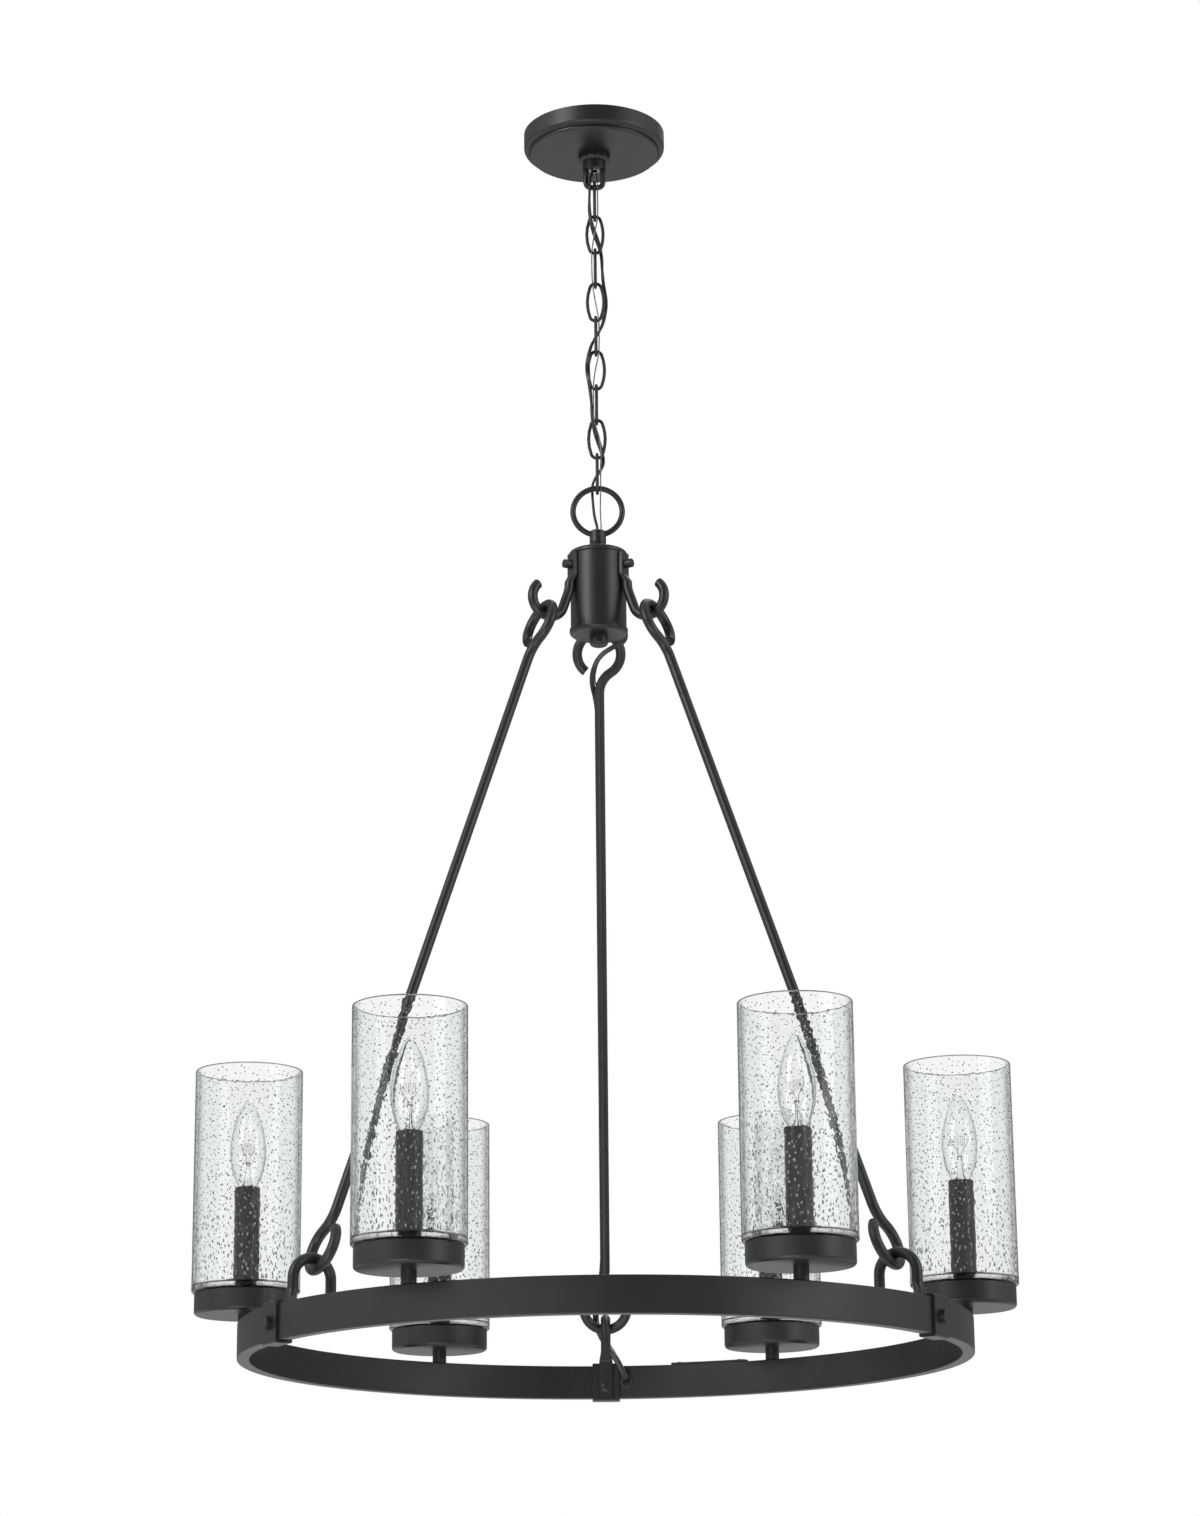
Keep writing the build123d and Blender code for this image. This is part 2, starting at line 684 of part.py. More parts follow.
cover_low = ring_high
with BuildPart() as ring_screws:
    for angle in hook_angles.values():
        with BuildSketch(radial_out(angle, strap_outer, ring_middle)):
            Circle(screw_head_radius)
        extrude(amount=screw_head)
        head_face = ring_screws.faces(Select.LAST).sort_by_distance((0, 0, ring_middle))[-1]
        fillet(head_face.edges(), screw_head_edge)
        with BuildSketch(radial_out(angle, ring_outer - ring_wall - 1, ring_middle)):
            Circle(shank_radius)
        extrude(amount=strap_outer - ring_outer + ring_wall + 1 + screw_head / 2)
    for angle in cover_screws:
        with BuildSketch(level(angle, ring_radius, cover_low + cover_thick)):
            Circle(cover_screw_radius)
        extrude(amount=cover_screw_head)
        with BuildSketch(level(angle, ring_radius, ring_high - ring_wall - 1)):
            Circle(cover_shank_radius)
        extrude(amount=ring_wall + 1 + cover_thick + cover_screw_head / 2)
ring_screws.part.label = "ring_screws"
export_step(ring_screws.part, "parts/ring_screws.step")

with BuildPart() as access_cover:
    with BuildSketch(radial_plane(cover_start)):
        with Locations((ring_radius, cover_low + cover_thick / 2)):
            Rectangle(ring_thick, cover_thick)
    revolve(axis=Axis.Z, revolution_arc=cover_end - cover_start)
    for angle in cover_screws:
        with BuildSketch(level(angle, ring_radius, cover_low - cover_thick)):
            Circle(cover_shank_radius + fit_gap)
        extrude(amount=3 * cover_thick, mode=Mode.SUBTRACT)
access_cover.part.label = "access_cover"
export_step(access_cover.part, "parts/access_cover.step")

with BuildPart() as cord_grommet:
    with BuildSketch(radial_out(grommet_angle, ring_inner - grommet_lip, ring_middle)):
        Circle(grommet_radius)
    extrude(amount=grommet_lip - fit_gap)
    with BuildSketch(radial_out(grommet_angle, ring_inner - grommet_lip, ring_middle)):
        Circle(grommet_body)
    extrude(amount=grommet_lip + ring_wall + 0.5)
    with BuildSketch(radial_out(grommet_angle, ring_inner - 2 * grommet_lip, ring_middle)):
        Circle(grommet_bore)
    extrude(amount=6 * grommet_lip, mode=Mode.SUBTRACT)
cord_grommet.part.label = "cord_grommet"
export_step(cord_grommet.part, "parts/cord_grommet.step")

# Lamps
stem_high = ring_high + stem_height
cup_high = stem_high + cup_height
floor_high = stem_high + cup_floor
holder_low = floor_high
glass_low = cup_high
glass_floor_high = glass_low + glass_floor
retainer_high = glass_floor_high + retainer_height
sleeve_high = retainer_high + sleeve_height
holder_high = sleeve_high - sleeve_above_holder
bore_low = holder_high - holder_depth


def six_of(shape):
    with BuildPart() as group:
        for angle in lamp_angles:
            with Locations(at_angle(angle, ring_radius, 0)):
                add(shape)
    return group


with BuildPart() as stem:
    with BuildSketch(Plane.XY.offset(ring_high)):
        Circle(stem_radius)
    extrude(amount=stem_height)
    with BuildSketch(Plane.XY.offset(ring_high - ring_wall - 0.5)):
        Circle(tenon_radius)
    extrude(amount=ring_wall + 1)
    with BuildSketch(Plane.XY.offset(stem_high)):
        Circle(spigot_radius)
    extrude(amount=spigot_height)
    with BuildSketch(Plane.XY.offset(ring_low)):
        Circle(stem_bore)
    extrude(amount=2 * ring_height + spigot_height, mode=Mode.SUBTRACT)
lamp_stems = six_of(stem.part)
lamp_stems.part.label = "lamp_stems"
export_step(lamp_stems.part, "parts/lamp_stems.step")

with BuildPart() as cup:
    with BuildSketch(Plane.XZ) as cup_outline:
        with BuildLine():
            Polyline(
                (0, stem_high),
                (cup_radius, stem_high),
                (cup_radius, cup_high),
                (cup_radius - cup_wall, cup_high),
                (cup_radius - cup_wall, floor_high),
                (0, floor_high),
                close=True,
            )
        make_face()
        fillet(cup_outline.vertices().group_by(Axis.X)[1].sort_by(Axis.Y)[0], cup_edge - cup_wall)
        fillet(cup_outline.vertices().group_by(Axis.X)[-1].sort_by(Axis.Y)[0], cup_edge)
    revolve(axis=Axis.Z)
    with BuildSketch(Plane.XY.offset(stem_high)):
        Circle(spigot_radius + fit_gap)
    extrude(amount=cup_height, mode=Mode.SUBTRACT)
lamp_cups = six_of(cup.part)
lamp_cups.part.label = "lamp_cups"
export_step(lamp_cups.part, "parts/lamp_cups.step")

with BuildPart() as holder:
    with BuildSketch(Plane.XY.offset(holder_low)):
        Circle(holder_radius)
    extrude(amount=holder_high - holder_low)
    with BuildSketch(Plane.XY.offset(holder_low)):
        Circle(spigot_radius + fit_gap)
    extrude(amount=spigot_height, mode=Mode.SUBTRACT)
    with BuildSketch(Plane.XY.offset(holder_low)):
        Circle(stem_bore)
    extrude(amount=holder_high - holder_low, mode=Mode.SUBTRACT)
    with BuildSketch(Plane.XY.offset(bore_low)):
        Circle(holder_bore)
    extrude(amount=holder_depth, mode=Mode.SUBTRACT)
lampholders = six_of(holder.part)
lampholders.part.label = "lampholders"
export_step(lampholders.part, "parts/lampholders.step")

with BuildPart() as sleeve:
    with BuildSketch(Plane.XY.offset(retainer_high)):
        Circle(sleeve_radius)
        Circle(sleeve_radius - sleeve_wall, mode=Mode.SUBTRACT)
    extrude(amount=sleeve_height)
candle_sleeves = six_of(sleeve.part)
candle_sleeves.part.label = "candle_sleeves"
export_step(candle_sleeves.part, "parts/candle_sleeves.step")

with BuildPart() as retainer:
    with BuildSketch(Plane.XY.offset(glass_floor_high)):
        Circle(retainer_radius)
        Circle(holder_radius + fit_gap, mode=Mode.SUBTRACT)
    extrude(amount=retainer_height)
shade_retainers = six_of(retainer.part)
shade_retainers.part.label = "shade_retainers"
export_step(shade_retainers.part, "parts/shade_retainers.step")

with BuildPart() as shade:
    with BuildSketch(Plane.XY.offset(glass_low)):
        Circle(glass_radius)
    extrude(amount=glass_height)
    fillet(shade.edges().group_by(Axis.Z)[0], glass_edge)
    with BuildSketch(Plane.XY.offset(glass_floor_high)):
        Circle(glass_radius - glass_wall)
    extrude(amount=glass_height, mode=Mode.SUBTRACT)
    with BuildSketch(Plane.XY.offset(glass_low)):
        Circle(holder_radius + fit_gap)
    extrude(amount=glass_height, mode=Mode.SUBTRACT)

base_low_z = bore_low + swing_gap + bulb_tip_height
base_high_z = holder_high + swing_gap
bulb_foot = base_high_z + fit_gap / 2


def candle_outline(neck, radius, length):
    spots = [(neck, bulb_foot)]
    spots += [(radius * width, bulb_foot + length * height) for width, height in bulb_shares]
    return spots + [(0, bulb_foot + length)]


bulb_ends = [(0.5, 1), (-1, 0)]
with BuildPart() as lamp_bulb:
    with BuildSketch(Plane.XZ):
        with BuildLine():
            outer = Spline(*candle_outline(bulb_neck, bulb_radius, bulb_length), tangents=bulb_ends)
            inner_sizes = (bulb_neck - bulb_wall, bulb_radius - bulb_wall, bulb_length - 2 * bulb_wall)
            inner = Spline(*candle_outline(*inner_sizes), tangents=bulb_ends)
            Line(outer @ 0, inner @ 0)
            Line(outer @ 1, inner @ 1)
        make_face()
    revolve(axis=Axis.Z)
    with BuildSketch(Plane.XY.offset(base_low_z)):
        Circle(holder_bore - swing_gap)
    extrude(amount=base_high_z - base_low_z)
    with BuildSketch(Plane.XY.offset(base_low_z)):
        Circle(holder_bore / 2)
    extrude(amount=-bulb_tip_height)
    with BuildSketch(Plane.XY.offset(base_high_z)):
        Circle(bulb_mount_radius)
    extrude(amount=bulb_mount_height)

for number, angle in enumerate(lamp_angles, 1):
    with BuildPart() as glass_shade:
        with Locations(at_angle(angle, ring_radius, 0)):
            add(shade.part)
    glass_shade.part.label = f"glass_shade_{number}"
    export_step(glass_shade.part, f"parts/glass_shade_{number}.step")
    with BuildPart() as bulb:
        with Locations(at_angle(angle, ring_radius, 0)):
            add(lamp_bulb.part)
    bulb.part.label = f"bulb_{number}"
    export_step(bulb.part, f"parts/bulb_{number}.step")

# Cords: link number, sideways, depth and height above that link's centre
weave = [
    (1, -4.8, -4.8, 3.6),
    (1, -5.0, -4.2, -10.3),
    (2, -3.6, -4.0, 11.4),
    (2, 0.0, 0.0, 0.4),
    (2, 3.9, 3.6, -9.5),
    (2, 6.2, 4.7, -20.5),
    (3, 6.4, 3.6, -0.7),
    (3, 7.4, 4.3, -13.7),
    (4, 9.0, 4.7, 8.0),
    (4, 9.2, 4.7, -2.9),
    (4, 7.8, 4.3, -15.9),
    (5, 4.2, 1.5, 6.8),
    (5, 0.0, -0.3, -0.6),
    (5, -4.2, -2.2, -9.1),
    (6, -7.4, -4.7, 11.6),
    (6, -8.2, -4.9, -1.3),
    (6, -6.4, -4.5, -15.3),
    (7, -4.9, -3.6, 5.4),
    (7, -4.4, -3.7, -8.5),
    (8, -3.0, -3.7, 11.2),
    (8, 0.5, 0.0, 0.2),
    (8, 4.0, 3.7, -9.7),
    (8, 6.0, 4.7, -18.7),
    (9, 4.9, 3.2, 7.0),
    (9, 0.0, 0.3, -0.9),
    (9, -4.3, 2.2, -8.4),
    (9, -4.9, 5.6, -15.0),
]
bore_side = 1.2
supply_points = [
    (-bore_side, 0, -1.0),
    (-bore_side, 0, nipple_low - 1.0),
    (-3.7, -4.2, loop_bar + 7.4),
    (-4.3, -loop_wire, loop_bar - 1.0),
]
supply_points += [(x, y, link_centre(link) + rise) for link, x, y, rise in weave]
supply_points += [
    (-4.2, 4.6, hub_ring_centre + 10.6),
    (-3.2, 3.4, hub_ring_centre - 2.4),
    (-1.3, cord_back - 0.4, neck_high + 9.0),
    (0, cord_back, neck_high + 3.5),
    (0, cord_back, cap_low - 8.0),
]
supply_cord = round_cord(supply_points, cord_radius)
supply_cord.label = "supply_cord"
export_step(supply_cord, "parts/supply_cord.step")

ground_weave = [
    (1, 2.9, -3.6, 4.6),
    (1, 3.0, -3.2, -11.3),
    (2, 2.2, -4.4, 11.4),
    (2, -0.6, -5.2, -1.5),
    (3, -3.1, -3.6, 16.2),
    (3, -3.3, -2.8, -0.7),
    (4, -2.7, -3.2, 16.0),
    (4, -0.4, -3.6, 0.0),
    (5, 2.9, -3.2, 15.8),
    (5, 3.1, -4.0, -0.1),
    (6, 2.8, -3.4, 14.6),
    (6, -0.9, -3.2, -0.3),
    (7, -2.9, -5.6, 16.4),
    (7, -2.8, -6.2, 0.4),
    (8, -2.7, -6.5, 15.2),
    (8, 2.2, -4.6, 1.2),
    (9, 3.9, -3.4, 20.0),
    (9, 3.0, -3.0, 4.0),
    (9, 3.2, -4.2, -13.0),
]
ground_points = [
    (bore_side + 0.4, 0, -1.0),
    (bore_side + 0.4, 0, nipple_low - 1.0),
    (2.4, -3.4, loop_bar + 7.4),
    (2.8, -4.2, loop_bar - 0.6),
]
ground_points += [(x, y, link_centre(link) + rise) for link, x, y, rise in ground_weave]
ground_points += [
    (2.6, -2.0, hub_ring_centre + 9.6),
    (2.6, 2.2, hub_ring_centre - 4.4),
    (wire_side, cord_back, neck_high + 4.5),
    (wire_side, cord_back - 0.02, cap_low - 8.0),
]
ground_wire = round_cord(ground_points, bare_wire_radius)
ground_wire.label = "ground_wire"
export_step(ground_wire, "parts/ground_wire.step")

# The cord and wire that run from the hub down the back of the rear rod to the ring
behind = rod_wire / 2 + cord_radius + 2 * swing_gap
upper_eye = Vector(0, rod_middle - eye_height * rod_sine, rod_middle_height + eye_height * rod_cosine)
lower_eye = Vector(0, rod_middle + eye_height * rod_sine, rod_middle_height - eye_height * rod_cosine)
rod_up = Vector(0, -rod_sine, rod_cosine)
rod_back = Vector(0, rod_cosine, rod_sine)


def beside_rod(eye, rise, side, back):
    spot = eye + rod_up * rise + rod_back * back + Vector(side, 0, 0)
    return (spot.X, spot.Y, spot.Z)


def from_hub(x, y, rise):
    return (x, y, base_low + rise)


def from_ring(x, inward, rise):
    return (x, ring_inner - inward, ring_low + rise)


rod_cord_points = [
    from_hub(12.0, 10.5, 14.5),
    from_hub(24.2, 22.4, 13.7),
    from_hub(24.5, 28.5, 4.0),
    from_hub(15.5, 42.0, 4.0),
    from_hub(0.3, 50.0, -3.0),
    beside_rod(upper_eye, -15.4, -6.3, -8.9),
    beside_rod(upper_eye, -27.7, -6.9, 1.5),
    beside_rod(upper_eye, -41.9, -3.2, 8.6),
    beside_rod(upper_eye, -66.0, -0.8, behind),
    beside_rod(lower_eye, 62.0, -0.8, behind),
    beside_rod(lower_eye, 14.8, -4.5, 15.0),
    from_ring(-11.2, 16.7, 73.0),
    from_ring(-5.6, 14.7, 56.0),
    from_ring(4.2, 15.7, 42.0),
    from_ring(13.6, 13.7, 27.0),
    from_ring(grommet_side - 0.8, 10.2, ring_height / 2 + 0.6),
    from_ring(grommet_side, -ring_wall - 2.5, ring_height / 2),
]
rod_cord = round_cord(rod_cord_points, cord_radius)
rod_cord.label = "rod_cord"
export_step(rod_cord, "parts/rod_cord.step")

rod_ground_points = [
    from_hub(10.0, 12.7, 14.5),
    from_hub(21.4, 24.5, 13.7),
    from_hub(22.0, 31.2, 6.0),
    from_hub(14.5, 44.4, 6.7),
    from_hub(2.2, 53.0, -0.3),
    beside_rod(upper_eye, -14.4, -3.4, -5.8),
    beside_rod(upper_eye, -24.9, -4.2, 1.9),
    beside_rod(upper_eye, -41.6, 0.2, 9.4),
    beside_rod(upper_eye, -66.0, 2.2, behind - 0.3),
    beside_rod(lower_eye, 62.0, 2.2, behind - 0.3),
    beside_rod(lower_eye, 15.1, -1.4, 14.1),
    from_ring(-8.3, 16.6, 74.0),
    from_ring(-3.0, 14.7, 58.0),
    from_ring(6.8, 15.2, 43.8),
    from_ring(15.8, 12.2, 28.6),
    from_ring(grommet_side + 1.6, 9.7, ring_height / 2 + 1.0),
    from_ring(grommet_side + 2.2, -ring_wall - 2.5, ring_height / 2 + 0.4),
]
rod_ground_wire = round_cord(rod_ground_points, bare_wire_radius)
rod_ground_wire.label = "rod_ground_wire"
export_step(rod_ground_wire, "parts/rod_ground_wire.step")
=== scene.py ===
import random
from math import asin, atan2, cos, degrees, pi, radians, sin, sqrt

import bmesh
import bpy
from mathutils import Matrix, Quaternion, Vector


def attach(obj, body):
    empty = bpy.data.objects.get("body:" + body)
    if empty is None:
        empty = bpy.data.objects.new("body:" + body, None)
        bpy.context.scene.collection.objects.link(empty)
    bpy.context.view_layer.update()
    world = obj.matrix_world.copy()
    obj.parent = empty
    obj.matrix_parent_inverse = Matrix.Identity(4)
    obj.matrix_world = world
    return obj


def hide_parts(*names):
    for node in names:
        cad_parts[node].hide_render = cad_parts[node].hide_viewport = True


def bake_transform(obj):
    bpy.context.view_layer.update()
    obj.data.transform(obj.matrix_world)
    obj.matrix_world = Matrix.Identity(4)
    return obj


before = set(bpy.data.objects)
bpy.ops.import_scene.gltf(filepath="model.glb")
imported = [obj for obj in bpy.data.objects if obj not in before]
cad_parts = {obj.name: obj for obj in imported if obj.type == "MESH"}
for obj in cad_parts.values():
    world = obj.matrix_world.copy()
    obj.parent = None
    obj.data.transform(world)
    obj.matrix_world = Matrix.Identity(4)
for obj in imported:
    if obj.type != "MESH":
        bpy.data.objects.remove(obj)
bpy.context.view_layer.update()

bl_info = {
    "name": "Outdoor chandelier",
    "version": (1, 0, 0),
    "blender": (4, 5, 0),
    "location": "View3D > Sidebar > Chandelier",
    "description": "Dresses the packed chandelier: coated ironwork, chain, cords, seeded glass and bulbs",
    "category": "Object",
}

MM = 0.001
UP = Vector((0, 0, 1))

# How near points are one point, how near in mm a point is on a ring, the largest hole to fill, degrees to a
# step of a bend, and how far in mm from its two ends a weld looks for open edges
DOUBLES = 0.002 * MM
RING_REACH = 0.01
HOLE_SIDES = 256
BEND_STEP = 9.0
WELD_REACH = 8.0

# Depth in mm of the finishes' relief, and the sheen of thick glass
SKIN_DEPTH = 0.3
DIM_SHEEN = "#8c8e8e"

# Heights in mm below the ceiling, and angles in degrees round the ring
RING_LOW = -1142.0
HOOK_ANGLES = {"rear": 90.0, "left": 210.0, "right": 330.0}
LAMP_ANGLES = [0.0, 60.0, 120.0, 180.0, 240.0, 300.0]
RING_RADIUS = 308.0


def linear(code):
    """A colour written as sRGB hex, as the linear numbers that Blender's sockets hold."""
    parts = [int(code[i : i + 2], 16) / 255 for i in (1, 3, 5)]
    return tuple(c / 12.92 if c <= 0.04045 else ((c + 0.055) / 1.055) ** 2.4 for c in parts) + (1.0,)


def length_setting(name, description, size):
    """A length property, set in mm."""
    return bpy.props.FloatProperty(name=name, description=description, default=size * MM, unit="LENGTH")


def angle_setting(name, description, turn):
    """An angle property, set in degrees."""
    return bpy.props.FloatProperty(
        name=name, description=description, default=radians(turn), subtype="ANGLE"
    )


def colour_setting(name, description, code):
    """A colour property, set as sRGB hex."""
    return bpy.props.FloatVectorProperty(
        name=name, description=description, default=linear(code), size=4, subtype="COLOR"
    )


class CHANDELIER_PG_ironwork(bpy.types.PropertyGroup):
    """Sizes and colours of the coated ironwork."""

    coat_dark: colour_setting("Coat, dark", "Colour of the coat in its darker patches", "#171718")
    coat_pale: colour_setting("Coat, pale", "Colour of the coat in its paler patches", "#1f1f20")
    rod_wire: length_setting("Rod wire", "Thickness of the rods and hooks", 9.0)
    link_wire: length_setting("Link wire", "Thickness of the chain's wire", 3.0)


class CHANDELIER_PG_cords(bpy.types.PropertyGroup):
    """Sizes and colours of the cord and the bare wire."""

    jacket: colour_setting("Jacket", "Colour of the cord's jacket", "#151516")
    cord_width: length_setting("Cord width", "Width of the flat twin cord", 4.6)
    cord_thick: length_setting("Cord thickness", "Thickness of the flat twin cord", 2.4)
    wire_radius: length_setting("Bare wire radius", "Radius of the bare ground wire", 0.6)


class CHANDELIER_PG_glass(bpy.types.PropertyGroup):
    """Sizes of the seeded glass."""

    seeds: bpy.props.IntProperty(
        name="Seeds", description="Air bubbles in the wall of each shade", default=2100, min=0
    )
    seed_radius: length_setting("Seed radius", "Radius of a middling bubble", 0.66)
    wall: length_setting("Wall", "Thickness of the shade's wall", 2.5)


class CHANDELIER_PG_stage(bpy.types.PropertyGroup):
    """The camera."""

    lens: bpy.props.FloatProperty(
        name="Lens", description="Focal length in mm", default=86.55, subtype="DISTANCE_CAMERA"
    )
    tilt: angle_setting("Tilt", "How far the camera is turned up from straight down", 105.98)
    roll: angle_setting("Roll", "How far the camera leans to one side", -0.56)


def add_node(tree, kind, settings=None, **inputs):
    """Adds a node, sets it up, and fills its sockets with values or with (node, output) links."""
    node = tree.nodes.new(kind)
    for key, value in (settings or {}).items():
        setattr(node, key, value)
    for key, value in inputs.items():
        numbered = key[0] == "i" and key[1:].isdigit()
        socket = node.inputs[int(key[1:]) if numbered else key.replace("_", " ")]
        if isinstance(value, tuple) and len(value) == 2 and hasattr(value[0], "outputs"):
            tree.links.new(value[0].outputs[value[1]], socket)
        else:
            socket.default_value = value
    return node


def new_material(name):
    """A material with an empty tree, its output node, and Object coordinates."""
    material = bpy.data.materials.new(name)
    material.use_nodes = True
    tree = material.node_tree
    tree.nodes.clear()
    output = add_node(tree, "ShaderNodeOutputMaterial")
    place = add_node(tree, "ShaderNodeTexCoord")
    return material, tree, output, place


def set_ramp(node, stops):
    """Gives a colour ramp its stops of (position, colour)."""
    ramp = node.color_ramp
    while len(ramp.elements) < len(stops):
        ramp.elements.new(0.5)
    for element, (position, colour) in zip(ramp.elements, stops):
        element.position = position
        element.color = colour


MATERIALS = {}


def stops(*pairs):
    """Colour ramp stops from (position, sRGB hex) pairs."""
    return [(position, linear(code)) for position, code in pairs]


def noise(tree, place, grain, detail):
    """Noise in Object coordinates with patches about this many mm wide."""
    return add_node(
        tree, "ShaderNodeTexNoise", Vector=(place, "Object"), Scale=1 / (grain * MM), Detail=detail
    )


def make_surface(name, grain, detail, tone, gloss, relief=0.0, patch=None, **shader):
    """An opaque finish. Noise of one grain varies its tone (a colour, or a list of ramp stops), its gloss
    (a roughness, or a range of it) and its skin; patch gives the tone a (grain, detail) of its own."""
    material, tree, output, place = new_material(name)
    fine = noise(tree, place, grain, detail)
    shader.update(Base_Color=tone, Roughness=gloss)
    if isinstance(tone, list):
        broad = noise(tree, place, *patch) if patch else fine
        ramp = add_node(tree, "ShaderNodeValToRGB", Fac=(broad, "Fac"))
        set_ramp(ramp, tone)
        shader["Base_Color"] = (ramp, "Color")
    if isinstance(gloss, tuple):
        spread = add_node(
            tree, "ShaderNodeMapRange", Value=(fine, "Fac"), To_Min=gloss[0], To_Max=gloss[1]
        )
        shader["Roughness"] = (spread, "Result")
    if relief:
        bump = add_node(
            tree, "ShaderNodeBump", Height=(fine, "Fac"), Strength=relief, Distance=SKIN_DEPTH * MM
        )
        shader["Normal"] = (bump, "Normal")
    surface = add_node(tree, "ShaderNodeBsdfPrincipled", **shader)
    tree.links.new(surface.outputs["BSDF"], output.inputs["Surface"])
    return material


def make_bright_wire(name, pale, dark):
    """Clean drawn or rolled metal: bright, and a little darker in patches."""
    return make_surface(name, 3.0, 2.0, stops((0.3, dark), (0.7, pale)), 0.3, Metallic=1.0)


def make_glass(name, tones, wave, wave_height, sheen):
    """Soda-lime glass: clear and a little wavy, with painted shade that darkens its colour where the eye
    meets the surface at a low angle.
    The wave's width and height are in mm."""
    material, tree, output, place = new_material(name)
    lean = add_node(tree, "ShaderNodeLayerWeight", Blend=0.5)
    tone = add_node(tree, "ShaderNodeValToRGB", Fac=(lean, "Facing"))
    set_ramp(tone, tones)
    ripple = noise(tree, place, wave, 1.0)
    bump = add_node(
        tree, "ShaderNodeBump", Height=(ripple, "Fac"), Strength=0.5, Distance=wave_height * MM
    )
    shader = add_node(
        tree,
        "ShaderNodeBsdfPrincipled",
        Base_Color=(tone, "Color"),
        Normal=(bump, "Normal"),
        Roughness=0.0,
        IOR=1.5,
        Transmission_Weight=1.0,
        Specular_Tint=linear(sheen),
    )
    tree.links.new(shader.outputs["BSDF"], output.inputs["Surface"])
    return material


def make_materials(scene):
    """Makes each finish once."""
    if MATERIALS:
        return
    ironwork = scene.chandelier_ironwork
    # Polyester powder coat baked on steel: near black, satin, with soft patches and a faint orange peel,
    # which is 0.4 mm on the real coat and is drawn at 1.1 mm so that it shows
    tone = [(0.35, ironwork.coat_dark[:]), (0.65, ironwork.coat_pale[:])]
    MATERIALS["coat"] = make_surface(
        "black_powder_coat", 1.1, 2.0, tone, (0.36, 0.46), relief=0.10, patch=(40.0, 3.0), IOR=1.5
    )
    # Zinc-plated steel: a cool grey metal with cloudy patches
    tone = stops((0.3, "#8f9296"), (0.7, "#b4b7ba"))
    MATERIALS["zinc"] = make_surface("zinc_plated_steel", 6.0, 4.0, tone, (0.28, 0.42), Metallic=1.0)
    # Extruded PVC cord jacket: black and smooth, with a soft plastic shine
    jacket = scene.chandelier_cords.jacket[:]
    MATERIALS["pvc"] = make_surface(
        "black_pvc_jacket", 4.0, 2.0, jacket, (0.32, 0.44), relief=0.06, IOR=1.53
    )
    # Drawn copper wire with a thin tin wash: a dull grey metal with warm streaks
    tone = stops((0.35, "#5f5650"), (0.65, "#8d857f"))
    MATERIALS["wire"] = make_surface("tinned_copper_wire", 5.0, 3.0, tone, 0.38, Metallic=1.0)
    # Moulded black rubber: dark and dull, with a fine grain
    MATERIALS["rubber"] = make_surface(
        "moulded_rubber", 1.2, 2.0, linear("#303031"), (0.6, 0.75), relief=0.15
    )
    MATERIALS["copper"] = make_bright_wire("copper_lead_wire", "#948579", "#74685e")
    MATERIALS["filament"] = make_bright_wire("tungsten_filament", "#6b665f", "#4a4641")
    MATERIALS["brass"] = make_bright_wire("rolled_brass", "#c9a860", "#a08044")
    # The shade's wall is clear from the front; towards its sides the ramp paints shade into its colour, for
    # the wall's depth and for the dark edges that glass shows there
    tone = stops(
        (0.0, "#f6f7f7"), (0.5, "#eef0f0"), (0.66, "#c3c8c8"), (0.78, "#6a6e6e"), (0.9, "#1e2020")
    )
    MATERIALS["glass"] = make_glass("seeded_soda_glass", tone, 6.0, 0.22, DIM_SHEEN)
    # The bulb's glass likewise has painted shade towards its sides
    tone = stops((0.0, "#ffffff"), (0.5, "#f4f6f6"), (0.74, "#a8aeae"), (0.9, "#3a3e3f"))
    MATERIALS["bulb"] = make_glass("clear_bulb_glass", tone, 30.0, 0.05, "#c8caca")
    # A seed is a bubble: painted shade runs from its pale middle to its dark rim
    tone = stops((0.0, "#d4d7d7"), (0.35, "#949797"), (0.8, "#363838"))
    MATERIALS["seed"] = make_glass("air_seed_skin", tone, 22.0, 0.0, DIM_SHEEN)
    # The rim and the floor are seen along the sheet, so they are green-grey, with painted shade that darkens
    # them further
    tone = stops((0.0, "#a9aea4"), (0.5, "#767b74"), (0.8, "#363a36"), (0.95, "#161818"))
    MATERIALS["edge"] = make_glass("glass_edge_painted_shade", tone, 3.0, 0.3, DIM_SHEEN)


def clear_choice():
    """Leaves edit mode and deselects everything."""
    if bpy.context.object and bpy.context.object.mode != "OBJECT":
        bpy.ops.object.mode_set(mode="OBJECT")
    bpy.ops.object.select_all(action="DESELECT")


def pick(*objects):
    """Selects only these objects and makes the first one active."""
    clear_choice()
    for obj in objects:
        obj.select_set(True)
    bpy.context.view_layer.objects.active = objects[0]


def edges_where(obj, test):
    """In edit mode, selects only the edges whose two ends pass the test."""
    bpy.ops.mesh.select_mode(type="EDGE")
    bpy.ops.mesh.select_all(action="DESELECT")
    mesh = bmesh.from_edit_mesh(obj.data)
    for edge in mesh.edges:
        edge.select = all(test(v.co) for v in edge.verts)
    mesh.select_flush_mode()
    bmesh.update_edit_mesh(obj.data)


